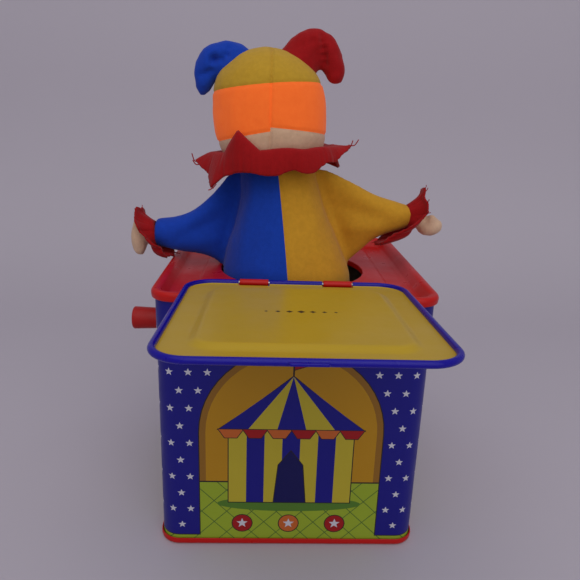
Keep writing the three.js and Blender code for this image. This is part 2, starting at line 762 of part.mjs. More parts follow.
const hornPoints = {
  blue: [[13, 0, 20, 10], [23, 1, 28, 9.5], [31, 1, 26, 8.5], [34, 1, 18, 7], [32, 1, 10, 4]],
  red: [[-12, 0, 22, 10], [-14, 1, 32, 9.5], [-23, 1, 33, 8.5], [-29, 1, 26, 7], [-30.5, 1, 17, 4.5]],
};

// A small oval set on the face at (x, z), standing out towards -Y.
function onFace(x, z, radiusX, radiusZ, out) {
  const lie = 1 - (x / headX) ** 2 - (z / headZ) ** 2;
  const y = -headY * Math.sqrt(lie);
  const bump = new THREE.SphereGeometry(1, 10, 8).scale(radiusX, out, radiusZ).translate(x, y, z);
  const grown = new THREE.SphereGeometry(1, 22, 14).rotateX(Math.PI / 2);
  const clear = facingOut(mergeIndexed(grown.scale(headX + gap, headY + gap, headZ + gap)));
  return cut(facingOut(mergeIndexed(bump)), clear);
}

// The mouth is a stitched arc, bowed down at the middle.
function mouth() {
  const lie = (x, z) => -Math.sqrt(1 - (x / headX) ** 2 - (z / headZ) ** 2) * headY - 1.5;
  const smile = [-9, -4.5, 0, 4.5, 9].map((x) => {
    const z = -13.5 + 0.045 * x * x;
    return new THREE.Vector3(x, lie(x, z), z);
  });
  return wire(new THREE.CatmullRomCurve3(smile), 0.8, 10, 6);
}

// A pompom on the chest, standing off the costume's front.
function chestPompom(z) {
  const profile = costumeProfile;
  const k = profile.findIndex(([level]) => level > z);
  const share = (z - profile[k - 1][0]) / (profile[k][0] - profile[k - 1][0]);
  const r = profile[k - 1][1] + share * (profile[k][1] - profile[k - 1][1]);
  const ball = new THREE.SphereGeometry(3.6, 10, 8).translate(leanAt(z), -r - 2.2, z);
  return cut(facingOut(mergeIndexed(ball)), loft(costumeCone(gap)));
}

// ---------------------------------------------------------------- assembly
add("box_shell", boxShell(), "blueTin");
add("base_plate", basePlate(), "redTin");
add("top_plate", topPlate(), "redTin");
add("hinge_wire", rodX([-36, 36], hingeWireRadius, hingeY, hingeZ, 16), "steel");

const lidPlace = turnedAboutX(-lidOpen, hingeY, hingeZ);
add("lid", lid(), "yellowTin", lidPlace);

add("crank_bush", crankBush(), "redPlastic");
add("crank_shaft", crankShaft(), "steel");
add("crank_arm", crankArm(), "steel");
add("knob_pin", knobPin(), "steel");
add("crank_knob", crankKnob(), "redPlastic");

add("movement_frame", movementFrame(), "steel");
screwPlaces.forEach((place, k) => add(`frame_screw_${k + 1}`, frameScrew(place), "steel"));
add("crank_pinion", gear(pinionTeeth, 0, crankZ, shaftRadius + gap, Math.PI), "whitePlastic");
add("drum_gear", gear(drumTeeth, drumY, crankZ, 1.8, Math.PI / drumTeeth), "whitePlastic");
add("drum_shaft", rodX([44.2, 65.0], 1.5, drumY, crankZ), "steel");
add("music_drum", musicDrum(), "brass");
add("release_cam", releaseCam(), "whitePlastic");
add("music_comb", musicComb(), "steel");
combScrews.forEach((place, k) => add(`comb_screw_${k + 1}`, combScrew(place), "brass"));

const leverPlace = turnedAboutX(leverReleased, ...leverPivot);
add("release_lever", releaseLever(), "steel", leverPlace);
add("lever_pin", leverPin(), "brass");
const latchPlace = turnedAboutX(latchReleased, latchY, latchZ);
add("lid_latch", lidLatch(), "steel", latchPlace);
[-9.5, 35.5].forEach((x, k) => add(`latch_bracket_${k + 1}`, latchBracket(x), "steel"));
add("latch_spring", latchSpring(), "steel");

add("spring_seat", springSeat(), "steel");
seatRivets.forEach((place, k) => add(`seat_rivet_${k + 1}`, seatRivet(place), "brass"));
add("jack_spring", jackSpring(), "steel");

add("costume_blue", costumeHalf(1), "blueFelt");
add("costume_yellow", costumeHalf(-1), "yellowFelt");
add("sleeve_blue", sleeve("blue"), "blueFelt");
add("sleeve_yellow", sleeve("yellow"), "yellowFelt");
add("cuff_left", cuff(wrists.left), "redFelt");
add("cuff_right", cuff(wrists.right), "redFelt");
add("hand_left", hand(wrists.left, [3.6, 5, 9.5], -3.6), "skinFelt");
add("hand_right", hand(wrists.right, [6.6, 5, 5.6], -4.2), "skinFelt");
[146, 164].forEach((z, k) => add(`chest_pompom_${k + 1}`, chestPompom(z), "redFelt"));

add("neck_disc", rodZ([neckZ - 1, neckZ + 0.6], 14, neckLean, 0, 24), "whitePlastic");
const ruff = add("collar", collar(), "redFelt");
ruff.position.set(neckLean + 0.2, 0, neckZ - 2.6);

const headPlace = new THREE.Group();
headPlace.position.copy(headCentre);
headPlace.rotation.y = headRoll;
toy.add(headPlace);
add("head_skin", headPart("skin"), "skinFelt", headPlace);
add("hair_band", headPart("hair"), "orangeFelt", headPlace);
add("hat_crown", headPart("hat"), "yellowFelt", headPlace);
add("hat_horn_blue", horn(hornPoints.blue), "blueFelt", headPlace);
add("hat_horn_red", horn(hornPoints.red), "redFelt", headPlace);
add("nose", onFace(0, -4, 5, 5, 5.5), "redFelt", headPlace);
add("eye_left", onFace(8.5, 4.5, 2.2, 3, 1.8), "blackFelt", headPlace);
add("eye_right", onFace(-8.5, 4.5, 2.2, 3, 1.8), "blackFelt", headPlace);
add("mouth", mouth(), "redFelt", headPlace);

export default toy;
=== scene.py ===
import random
from math import atan2, copysign, cos, degrees, exp, hypot, pi, radians, sin, sqrt

import bmesh
import bpy
import numpy as np
from mathutils import Matrix, Vector, geometry, noise


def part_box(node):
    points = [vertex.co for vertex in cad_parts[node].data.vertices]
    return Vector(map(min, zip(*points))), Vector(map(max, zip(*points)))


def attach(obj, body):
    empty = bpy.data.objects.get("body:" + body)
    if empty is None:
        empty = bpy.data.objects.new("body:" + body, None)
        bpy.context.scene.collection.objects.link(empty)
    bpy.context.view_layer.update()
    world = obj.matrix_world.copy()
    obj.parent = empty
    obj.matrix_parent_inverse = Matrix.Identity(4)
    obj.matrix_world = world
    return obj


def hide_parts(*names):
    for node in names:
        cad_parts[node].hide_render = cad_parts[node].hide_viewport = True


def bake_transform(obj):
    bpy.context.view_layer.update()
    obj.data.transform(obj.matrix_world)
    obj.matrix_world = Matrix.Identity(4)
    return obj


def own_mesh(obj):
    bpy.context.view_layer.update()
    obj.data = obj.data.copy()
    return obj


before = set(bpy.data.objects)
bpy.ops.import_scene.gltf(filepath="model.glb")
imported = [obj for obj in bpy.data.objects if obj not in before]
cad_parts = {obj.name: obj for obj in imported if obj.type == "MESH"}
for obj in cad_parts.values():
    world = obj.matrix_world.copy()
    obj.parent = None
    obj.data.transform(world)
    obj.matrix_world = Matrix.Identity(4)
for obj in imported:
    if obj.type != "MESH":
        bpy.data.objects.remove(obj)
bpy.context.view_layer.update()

# Sizes are in millimetres in the object's own frame, and become metres where a mesh is made.
MM = 0.001
HALF, CORNER, TIN_TOP = 66.0, 9.5, 138.0
TRAY, PANEL = 132.4, 133.4
HOLE = 40.0
HINGE_Y, HINGE_Z, LID_OPEN = 50.65, 138.8, radians(177.2)
LID_HALF, LID_CORNER, BEAD = 52.0, 14.0, 1.35
CRANK_Z, KNOB_Z = 72.0, 101.0
HEAD = Vector((13.5, 0, 216))
NECK_Z = 188.0


def lean(z):
    """The spring's axis leans towards +X as it rises."""
    return HEAD.x * (max(0, z) / HEAD.z) ** 2.1


# ---------------------------------------------------------------- materials
def srgb(r, g, b):
    def linear(c):
        c /= 255
        return c / 12.92 if c <= 0.04045 else ((c + 0.055) / 1.055) ** 2.4

    return (linear(r), linear(g), linear(b), 1)


class Material:
    """A procedural material: one Principled shader, with noise in the object's own coordinates."""

    def __init__(self, name):
        self.data = bpy.data.materials.new(name)
        self.data.use_nodes = True
        self.nodes = self.data.node_tree.nodes
        self.links = self.data.node_tree.links
        self.shader = self.nodes["Principled BSDF"]
        self.place = self.nodes.new("ShaderNodeTexCoord").outputs["Object"]

    def put(self, **values):
        """Sets the shader's own sockets, with _ for a space in a name."""
        for key, value in values.items():
            self.shader.inputs[key.replace("_", " ")].default_value = value

    def noise(self, scale, detail=3.0):
        node = self.nodes.new("ShaderNodeTexNoise")
        node.inputs["Scale"].default_value = scale
        node.inputs["Detail"].default_value = detail
        node.inputs["Roughness"].default_value = 0.6
        self.links.new(self.place, node.inputs["Vector"])
        return node.outputs["Fac"]

    def mottle(self, colour, scale, depth):
        """Varies the base colour between a little darker and a little lighter."""
        colour = srgb(*colour)
        mix = self.nodes.new("ShaderNodeMix")
        mix.data_type = "RGBA"
        mix.inputs["A"].default_value = tuple(c * (1 - depth) for c in colour[:3]) + (1,)
        mix.inputs["B"].default_value = tuple(min(1, c * (1 + depth)) for c in colour[:3]) + (1,)
        self.links.new(self.noise(scale, 4), mix.inputs["Factor"])
        self.links.new(mix.outputs["Result"], self.shader.inputs["Base Color"])

    def rub(self, scale, low, high):
        """Varies the roughness between two values."""
        spread = self.nodes.new("ShaderNodeMapRange")
        for key, value in (("From Min", 0.3), ("From Max", 0.7), ("To Min", low), ("To Max", high)):
            spread.inputs[key].default_value = value
        self.links.new(self.noise(scale), spread.inputs["Value"])
        self.links.new(spread.outputs["Result"], self.shader.inputs["Roughness"])

    def bump(self, *layers):
        """Adds bump layers (noise scale, depth in mm) to the surface."""
        last = None
        for scale, depth in layers:
            node = self.nodes.new("ShaderNodeBump")
            node.inputs["Strength"].default_value = 1
            node.inputs["Distance"].default_value = depth * MM
            self.links.new(self.noise(scale), node.inputs["Height"])
            if last:
                self.links.new(last, node.inputs["Normal"])
            last = node.outputs["Normal"]
        self.links.new(last, self.shader.inputs["Normal"])


def felt(name, colour, painted_glow=0.0):
    """Wool felt: matt, fibrous and a little mottled. Any glow is painted: emission in the felt's own colour,
    which makes it look brighter than the light falling on it.
    """
    m = Material(name)
    m.put(Emission_Color=srgb(*colour), Emission_Strength=painted_glow)
    m.mottle(colour, 420, 0.16)
    m.bump((60, 0.25), (1500, 0.12), (4200, 0.05))
    m.put(Roughness=0.96, Specular_IOR_Level=0.12, Sheen_Weight=0.12, Sheen_Roughness=0.45)
    return m.data


def lacquer(name, colour, rough=0.36, coat=0.04):
    """Printed and varnished tin: fine orange peel, and rubbed a little unevenly."""
    m = Material(name)
    m.mottle(colour, 35, 0.05)
    m.rub(90, rough - 0.06, rough + 0.1)
    m.bump((22, 0.05), (900, 0.004))
    m.put(Specular_IOR_Level=0.22, Coat_Weight=coat, Coat_Roughness=0.16)
    return m.data


def metal(name, colour, rough=0.34):
    m = Material(name)
    m.mottle(colour, 160, 0.1)
    m.rub(500, rough - 0.1, rough + 0.14)
    m.bump((1200, 0.01))
    m.put(Metallic=1)
    return m.data


def plastic(name, colour, rough=0.38):
    m = Material(name)
    m.mottle(colour, 120, 0.05)
    m.rub(260, rough - 0.06, rough + 0.12)
    m.bump((140, 0.03), (1600, 0.006))
    m.put(Specular_IOR_Level=0.3)
    return m.data


INK_COLOURS = {
    "blue": (26, 24, 128), "navy": (20, 20, 84), "line": (42, 34, 36), "gold": (184, 134, 26),
    "brown": (146, 102, 36), "green": (150, 170, 46), "moss": (84, 124, 44), "leaf": (72, 104, 46),
    "white": (206, 204, 214), "yellow": (188, 170, 50), "red": (160, 26, 28), "orange": (196, 100, 44),
}
INK = {ink: lacquer("print_" + ink, colour) for ink, colour in INK_COLOURS.items()}
RED_TIN = lacquer("red_tin", (194, 22, 18), 0.32, 0.02)
BARE_TIN = metal("bare_tin", (172, 170, 164), 0.42)
LID_YELLOW = lacquer("lid_yellow", (194, 160, 40), 0.34, 0.06)
LID_BLUE = lacquer("lid_blue", (18, 4, 150), 0.24, 0.1)
STEEL = metal("steel", (186, 186, 190))
BRASS = metal("brass", (200, 164, 86), 0.3)
RED_PLASTIC = plastic("red_plastic", (180, 20, 16))
WHITE_PLASTIC = plastic("white_plastic", (226, 222, 210), 0.45)
BLUE_FELT = felt("blue_felt", (26, 66, 176))
YELLOW_FELT = felt("yellow_felt", (204, 150, 44))
HAT_FELT = felt("hat_felt", (196, 154, 48))
RED_FELT = felt("red_felt", (160, 22, 26))
# The orange felt gets a painted glow: emission in its own colour, so it looks brighter than the light on it.
ORANGE_FELT = felt("orange_felt", (255, 112, 44), painted_glow=0.22)
SKIN_FELT = felt("skin_felt", (216, 180, 150))
BLACK_FELT = felt("black_felt", (24, 22, 26))


# ---------------------------------------------------------------- mesh helpers
def make(name, verts, faces, materials, indices=None):
    """A mesh object from points in mm."""
    mesh = bpy.data.meshes.new(name)
    mesh.from_pydata([tuple(c * MM for c in v) for v in verts], [], faces)
    for m in materials:
        mesh.materials.append(m)
    if indices is not None:
        mesh.polygons.foreach_set("material_index", indices)
    mesh.polygons.foreach_set("use_smooth", [True] * len(mesh.polygons))
    mesh.validate()
    obj = bpy.data.objects.new(name, mesh)
    bpy.context.scene.collection.objects.link(obj)
    return obj


def stand_in(obj, body, nodes, slot):
    """obj rides on a body in place of CAD nodes."""
    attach(obj, body)
    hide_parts(*nodes)
    return obj


def select_only(obj):
    bpy.ops.object.select_all(action="DESELECT")
    obj.select_set(True)
    bpy.context.view_layer.objects.active = obj


def modify(obj, kind, apply=True, **settings):
    m = obj.modifiers.new(kind.lower(), kind)
    for key, value in settings.items():
        setattr(m, key, value)
    if apply:
        select_only(obj)
        bpy.ops.object.modifier_apply(modifier=m.name)
    return obj


def fix_normals(obj):
    bm = bmesh.new()
    bm.from_mesh(obj.data)
    bmesh.ops.recalc_face_normals(bm, faces=bm.faces)
    bm.to_mesh(obj.data)
    bm.free()


def sharp_edges(obj, limit=35):
    select_only(obj)
    bpy.ops.object.shade_smooth_by_angle(angle=radians(limit))


def pushed(obj, rise):
    """Moves every point along its normal by rise(point, normal), all in mm."""
    normals = [v.normal.copy() for v in obj.data.vertices]
    for v, n in zip(obj.data.vertices, normals):
        v.co += n * rise(v.co / MM, n) * MM
    obj.data.update()


def cut_out(mesh, faces, name, material):
    """Some faces of a mesh as a piece of their own, shaded as if still part of the whole."""
    used = sorted({i for f in faces for i in mesh.polygons[f].vertices})
    index = {old: new for new, old in enumerate(used)}
    verts = [tuple(mesh.vertices[i].co / MM) for i in used]
    piece = make(name, verts, [tuple(index[i] for i in mesh.polygons[f].vertices) for f in faces], [material])
    piece.data.normals_split_custom_set_from_vertices([tuple(mesh.vertices[i].normal) for i in used])
    return piece


def loft(rings, capped=False):
    """Points and quads through rings of equally many points."""
    n = len(rings[0])
    verts = [tuple(p) for ring in rings for p in ring]
    faces = []
    for r in range(len(rings) - 1):
        a, b = r * n, (r + 1) * n
        faces += [(a + i, a + (i + 1) % n, b + (i + 1) % n, b + i) for i in range(n)]
    if capped:
        last = (len(rings) - 1) * n
        faces += [tuple(range(n))[::-1], tuple(last + i for i in range(n))]
    return verts, faces


def solid(name, rings, material):
    """A closed piece through rings, its faces turned outwards."""
    obj = make(name, *loft(rings, capped=True), [material])
    fix_normals(obj)
    return obj


def oval(centre, u, v, sides):
    """A ring of points about a centre, from its two half axes."""
    turns = [2 * pi * k / sides for k in range(sides)]
    return [tuple(c + p * cos(a) + q * sin(a) for c, p, q in zip(centre, u, v)) for a in turns]


def clamp(value):
    return max(0.0, min(1.0, value))


def sliced(bm, at, normal, dist=1e-7):
    """Cuts the faces along a plane and takes nothing away."""
    geom = [*bm.verts, *bm.edges, *bm.faces]
    bmesh.ops.bisect_plane(bm, geom=geom, plane_co=Vector(at) * MM, plane_no=normal, dist=dist)


def filleted(profile, radius=1.0, steps=5):
    """A polyline with its inner corners rounded."""
    out = [Vector(profile[0])]
    for a, b, c in zip(profile, profile[1:], profile[2:]):
        a, b, c = Vector(a), Vector(b), Vector(c)
        reach = min(radius, (a - b).length * 0.48, (c - b).length * 0.48)
        p, q = b + (a - b).normalized() * reach, b + (c - b).normalized() * reach
        for k in range(steps + 1):
            t = k / steps
            out.append(p * (1 - t) ** 2 + b * 2 * t * (1 - t) + q * t * t)
    return [tuple(p) for p in [*out, Vector(profile[-1])]]


ARC, SIDE = 10, 8


def square_ring(half, corner, z):
    r = max(0.6, corner)
    straight = half - r
    ring = []
    for side in range(4):
        c, s = cos(side * pi / 2), sin(side * pi / 2)
        edge = [(half, straight * (2 * k / SIDE - 1)) for k in range(SIDE)]
        turn = [k / ARC * pi / 2 for k in range(ARC + 1)]
        edge += [(straight + r * cos(a), straight + r * sin(a)) for a in turn]
        ring += [(x * c - y * s, x * s + y * c, z) for x, y in edge]
    return ring


def round_ring(radius, z):
    """A circle with its points in line with those of the tin's square rings."""
    ring = square_ring(HALF, CORNER, z)
    return [(radius * x / hypot(x, y), radius * y / hypot(x, y), z) for x, y, _ in ring]


def tin_ring(half, z):
    return square_ring(half, CORNER + half - HALF, z)


def lathe(name, profile, material, at, sides=64):
    """A turned piece about a line parallel to X through (y, z)."""
    rings = []
    for along, r in profile:
        rings.append(oval((along, *at), (0, r, 0), (0, 0, r), sides))
    obj = solid(name, rings, material)
    sharp_edges(obj, 40)
    return obj


def curve_points(points, per):
    """A smooth line through points of any dimension."""
    p = [np.array(q, float) for q in points]
    out = []
    for i in range(len(p) - 1):
        a, b, c, d = p[max(i - 1, 0)], p[i], p[i + 1], p[min(i + 2, len(p) - 1)]
        square, cube = 2 * a - 5 * b + 4 * c - d, 3 * b - a - 3 * c + d
        for k in range(per):
            t = k / per
            out.append(0.5 * (2 * b + (c - a) * t + square * t * t + cube * t**3))
    out.append(p[-1])
    return [tuple(q) for q in out]


def tube(path, radius, sides):
    """Rings of a round tube along a path."""
    rings = []
    path = [Vector(p) for p in path]
    side = None
    for i, p in enumerate(path):
        ahead = (path[min(i + 1, len(path) - 1)] - path[max(i - 1, 0)]).normalized()
        if side is None:
            side = ahead.orthogonal().normalized()
        side = (side - ahead * side.dot(ahead)).normalized()
        up = ahead.cross(side)
        rings.append(oval(p, side * radius, up * radius, sides))
    return rings


def joined(name, parts):
    """One object from several; the first gives its name."""
    bpy.ops.object.select_all(action="DESELECT")
    for p in parts:
        p.select_set(True)
    bpy.context.view_layer.objects.active = parts[0]
    bpy.ops.object.join()
    parts[0].name = name
    return parts[0]


# ---------------------------------------------------------------- flat painted shapes
def signed_area(points):
    return sum(a[0] * b[1] - b[0] * a[1] for a, b in zip(points, [*points[1:], points[0]])) / 2


def offset(points, by):
    """A closed outline moved outwards by a distance."""
    n = len(points)
    turn = 1 if signed_area(points) > 0 else -1
    out = []
    for i in range(n):
        a, b, c = Vector(points[i - 1]), Vector(points[i]), Vector(points[(i + 1) % n])
        d, e = (b - a).normalized(), (c - b).normalized()
        normal = Vector((d.y + e.y, -(d.x + e.x))) * turn
        if normal.length < 1e-6:
            normal = Vector((d.y, -d.x)) * turn
        normal.normalize()
        stretch = max(0.45, normal.dot(Vector((d.y, -d.x)) * turn))
        out.append(tuple(b + normal * (by / stretch)))
    return out


def circle(u, z, r, rz=None, sides=20):
    return [q[:2] for q in oval((u, z, 0), (r, 0, 0), (0, rz or r, 0), sides)]


def star(u, z, r=2.1):
    out = []
    for k in range(10):
        a = pi / 2 + k * pi / 5
        reach = r if k % 2 == 0 else r * 0.42
        out.append((u + reach * cos(a), z + reach * sin(a)))
    return out


def stroke(points, width):
    """A thin band along a line."""
    p = [Vector(q) for q in points]
    left, right = [], []
    for i, q in enumerate(p):
        d = (p[min(i + 1, len(p) - 1)] - p[max(i - 1, 0)]).normalized()
        left.append(tuple(q + Vector((-d.y, d.x)) * width / 2))
        right.append(tuple(q + Vector((d.y, -d.x)) * width / 2))
    return left + right[::-1]


class Painting:
    """Flat shapes in painter's order: each covers those before it."""

    def __init__(self):
        self.shapes = []
        self.inks = []

    def fill(self, points, ink):
        self.shapes.append(points)
        self.inks.append(ink)

    def drawn(self, points, ink, line=0.5):
        self.fill(offset(points, line), "line")
        self.fill(points, ink)

    def shifted(self, u):
        return [[(p[0] + u, p[1]) for p in s] for s in self.shapes]


def painted(name, shapes, inks, creases, place, palette):
    """A sheet cut up along the shapes, each face in the ink of the last shape that covers it.

    place gives the point and the normal that a flat point goes to.
    """
    verts, faces = [], []
    for s in shapes:
        faces.append(list(range(len(verts), len(verts) + len(s))))
        if signed_area(s) < 0:
            faces[-1].reverse()
        verts += [Vector(p) for p in s]
    edges = []
    for a, b in creases:
        edges.append((len(verts), len(verts) + 1))
        verts += [Vector(a), Vector(b)]
    points, _, tris, _, _, origin = geometry.delaunay_2d_cdt(verts, edges, faces, 0, 1e-4)
    names = sorted(set(inks))
    kept, indices = [], []
    for tri, covers in zip(tris, origin):
        if covers:
            kept.append(tuple(tri))
            indices.append(names.index(inks[max(covers)]))
    placed = [place(*p) for p in points]
    obj = make(name, [p for p, _ in placed], kept, [palette[n] for n in names], indices)
    if obj.data.polygons[0].normal.dot(placed[kept[0][0]][1]) < 0:
        obj.data.flip_normals()
    obj.data.normals_split_custom_set_from_vertices([tuple(n) for _, n in placed])
    return obj


# ---------------------------------------------------------------- the printed body
FLAT = HALF - CORNER
WALL = 2 * FLAT + CORNER * pi / 2
LOW, HIGH = 1.0, 136.8
# The printed arch: half its width, its foot, where its curve starts, its top, and the ground's far edge.
ARCH_HALF, ARCH_FOOT, ARCH_SPRING, ARCH_TOP, HORIZON = 46.0, 6.0, 66.0, 112.0, 38.0


def on_wall(s, z):
    """A point of the body's outside, s along the unrolled sheet from the middle of the rear wall."""
    k = round(s / WALL)
    u = s - k * WALL
    a = pi / 2 * (k + 1)
    n, r = Vector((cos(a), sin(a), 0)), Vector((-sin(a), cos(a), 0))
    if abs(u) <= FLAT:
        p = n * HALF + r * u
    else:
        e = copysign(1, u)
        t = (abs(u) - FLAT) / CORNER
        n, centre = n * cos(t) + r * e * sin(t), (n + r * e) * FLAT
        p = centre + n * CORNER
    return (p.x, p.y, z), n


def arch(grow):
    """The printed arch's opening above the horizon, made larger all round by a distance."""
    half, rise = ARCH_HALF + grow, ARCH_TOP - ARCH_SPRING + grow
    bend = [(half * cos(a), ARCH_SPRING + rise * sin(a)) for a in np.linspace(0, pi, 25)]
    return [(half, HORIZON), *bend, (-half, HORIZON)]


def surround(side, inset):
    """One half of the blue field round the arch, reaching inwards by a distance."""
    edge, half = WALL / 2, ARCH_HALF - inset
    rise = ARCH_TOP - ARCH_SPRING - inset
    bend = [(half * cos(a), ARCH_SPRING + rise * sin(a)) for a in np.linspace(0, pi / 2, 13)]
    outline = [(edge, ARCH_FOOT - inset), (half, ARCH_FOOT - inset), *bend, (0, HIGH), (edge, HIGH)]
    return [(side * u, z) for u, z in outline]


def star_places():
    """A staggered grid over the blue field, kept clear of the arch and of the sheet's ends."""
    step = WALL / 14
    out = []
    for row in range(13):
        z = 12 + 9.6 * row
        for k in range(-7, 8):
            u = (k + 0.5 * (row % 2)) * step
            half, rise = ARCH_HALF + 3, ARCH_TOP - ARCH_SPRING + 3
            inside = hypot(u / half, max(0, z - ARCH_SPRING) / rise) < 1
            if not inside and abs(u) < WALL / 2 - 2.4:
                out.append((u, z))
    return out


def scenery(art):
    """A gold arch over a tiled floor, in a plain blue field of stars."""
    edge = WALL / 2
    art.fill([(-edge, LOW), (edge, LOW), (edge, HORIZON), (-edge, HORIZON)], "green")
    tile = WALL / 10
    for k in range(-8, 9):
        for lean_ in (-1, 1):
            ends = sorted((k * tile + lean_ * (z - LOW), z) for z in (LOW + 0.1, HORIZON))
            if max(abs(u) for u, _ in ends) < edge:
                art.fill(stroke(ends, 0.42), "leaf")
    art.fill(arch(2), "brown")
    art.fill(arch(-3.6), "gold")
    art.fill(stroke([(-48, HORIZON), (48, HORIZON)], 0.8), "line")
    for ink, inset in (("line", 0.55), ("blue", 0)):
        for side in (-1, 1):
            art.fill(surround(side, inset), ink)
    for u, z in star_places():
        art.fill(star(u, z), "white")


def big_top(art, light, dark):
    """A plain striped tent with a flag, and three balls before it."""
    art.fill(circle(0, 25, 37, 4.5, 32), "moss")
    art.drawn([(-31, 26), (31, 26), (31, 70), (-31, 70)], light)
    stripe = 62 / 7
    for k in range(1, 7, 2):
        left = -31 + k * stripe
        art.fill([(left, 26), (left + stripe, 26), (left + stripe, 70), (left, 70)], dark)
    art.drawn([(-8, 26), (8, 26), (6, 48), (0, 56), (-6, 48)], "navy")
    art.drawn([(-36, 68), (36, 68), (20, 80), (0, 97), (-20, 80)], light)
    for k in (-2, 0, 2):
        art.fill([(0, 97), ((k - 0.5) * 14.4, 68), ((k + 0.5) * 14.4, 68)], dark)
    for k in range(6):
        left = -36 + 12 * k
        flap = [(left, 68), (left + 12, 68), (left + 9, 63.4), (left + 3, 63.4)]
        art.drawn(flap, "red" if k % 2 else "orange", 0.4)
    art.fill(stroke([(0, 97), (0, 106)], 0.8), "line")
    art.drawn([(0.4, 106), (9, 103.4), (0.4, 100.6)], "red", 0.4)
    for u, ink in ((-24, "red"), (0, "orange"), (24, "red")):
        art.drawn(circle(u, 13, 5), ink)
        art.fill(star(u, 13, 3), "white")


def printed_body():
    shapes, inks = [], []
    s0, s1 = -WALL / 2, 3.5 * WALL
    shapes.append([(s0, LOW), (s1, LOW), (s1, HIGH), (s0, HIGH)])
    inks.append("blue")
    for k in range(4):
        art = Painting()
        scenery(art)
        big_top(art, *(("yellow", "blue") if k % 2 == 0 else ("white", "red")))
        shapes += art.shifted(k * WALL)
        inks += art.inks
    creases = []
    for k in range(4):
        for e in (-1, 1):
            for t in range(5):
                s = k * WALL + e * (FLAT + CORNER * pi / 4 * t / 4)
                if s0 < s < s1:
                    creases.append(((s, LOW), (s, HIGH)))
    outside = painted("print", shapes, inks, creases, on_wall, INK)
    inner = HALF - 0.5
    lining = make("lining", *loft([tin_ring(inner, LOW), tin_ring(inner, HIGH)]), [BARE_TIN])
    lining.data.flip_normals()
    shell = joined("tin_body", [outside, lining])
    stand_in(shell, "case", ["box_shell"], "blue_tin")


# ---------------------------------------------------------------- pressed tin
def cut_boxes(obj, boxes):
    """Cuts boxes [(low corner, high corner)] out of an object."""
    for low, high in boxes:
        bm = bmesh.new()
        bmesh.ops.create_cube(bm, size=1)
        mesh = bpy.data.meshes.new("cutter")
        bm.to_mesh(mesh)
        bm.free()
        cutter = bpy.data.objects.new("cutter", mesh)
        bpy.context.scene.collection.objects.link(cutter)
        low, high = Vector(low) * MM, Vector(high) * MM
        cutter.matrix_world = Matrix.Translation((low + high) / 2) @ Matrix.Diagonal((*(high - low), 1))
        bpy.context.view_layer.update()
        modify(obj, "BOOLEAN", object=cutter, operation="DIFFERENCE", solver="EXACT")
        bpy.data.objects.remove(cutter)


def base():
    side = [
        (66.6, 3.9), (67.0, 3.7), (67.1, 1.5), (66.4, 0.35), (65.2, 0.0), (62, 0.0), (61, 0.9), (57, 0.9),
        (56, 0),
    ]
    rings = [tin_ring(h, z) for h, z in filleted(side, 0.7)]
    rings.append(square_ring(30, 6, 0))
    verts, faces = loft(rings)
    faces.append(tuple(range(len(verts) - len(rings[0]), len(verts))))
    pan = make("base_pan", verts, faces, [RED_TIN])
    fix_normals(pan)
    modify(pan, "SOLIDIFY", thickness=0.5 * MM, offset=-1)
    sharp_edges(pan, 50)
    stand_in(pan, "case", ["base_plate"], "red_tin")


def top():
    h = TIN_TOP
    rim = [
        (66.8, h - 4.6), (67.6, h - 4.2), (67.9, h - 1.7), (67.2, h - 0.3), (65.4, h), (63.6, h - 0.6),
        (61.0, h - 4.8), (59.6, TRAY), (49.6, TRAY), (48.2, PANEL),
    ]
    rings = [tin_ring(half, z) for half, z in filleted([*rim, (44, PANEL)], 1.1)]
    lip = [(HOLE + 1.6, PANEL), (HOLE, PANEL), (HOLE, PANEL - 3)]
    rings += [round_ring(r, z) for r, z in filleted(lip)]
    tray = make("top_tray", *loft(rings), [RED_TIN])
    fix_normals(tray)
    modify(tray, "SOLIDIFY", thickness=0.55 * MM, offset=-1)
    cut_boxes(tray, [((-5.2, -59.9, TRAY - 3), (5.2, -55.4, TRAY + 3))])
    parts = [tray]
    for x in (-20, 20):
        leg = [(46.4, TRAY - 0.1), (47.6, TRAY + 0.3), (48.8, TRAY + 3.4), (49.2, HINGE_Z - 0.4)]
        curl = []
        for k in range(15):
            a = pi - k * radians(300) / 14
            curl.append((HINGE_Y + 1.45 * cos(a), HINGE_Z + 1.45 * sin(a)))
        line = filleted(leg, 1.4) + curl
        steps = 6
        rings = [[(x - 6.8 + 13.6 * j / steps, y, z) for j in range(steps + 1)] for y, z in line]
        n = steps + 1
        verts = [p for r in rings for p in r]
        corners = [i * n + j for i in range(len(rings) - 1) for j in range(steps)]
        faces = [(c, c + 1, c + n + 1, c + n) for c in corners]
        tab = make("tab", verts, faces, [RED_TIN])
        modify(tab, "SOLIDIFY", thickness=0.5 * MM, offset=0)
        bevelled(tab, 0.12)
        parts.append(tab)
    tray = joined("top_tray", parts)
    sharp_edges(tray, 50)
    stand_in(tray, "case", ["top_plate"], "red_tin")


def shut_lid_to_open(p):
    turn = Matrix.Rotation(-LID_OPEN, 4, "X")
    pivot = Vector((0, HINGE_Y, HINGE_Z))
    return tuple(turn @ (Vector(p) - pivot) + pivot)


# The lid is drawn shut: its outer face, its inner face, how deep the panel is pressed, and the hinge's gaps.
LID_TOP = HINGE_Z + BEAD - 0.1
LID_UNDER = LID_TOP - 0.6
PRESSED = 1.7
GAP_HALF = 7.4


def lid_ring(half, z):
    return square_ring(half, LID_CORNER + half - LID_HALF, z)


def lid_panel(profile, radius=1.1):
    """Rings round the pressed panel in the lid's middle."""
    return [square_ring(h, 8 + h - 38, z) for h, z in filleted(profile, radius)]


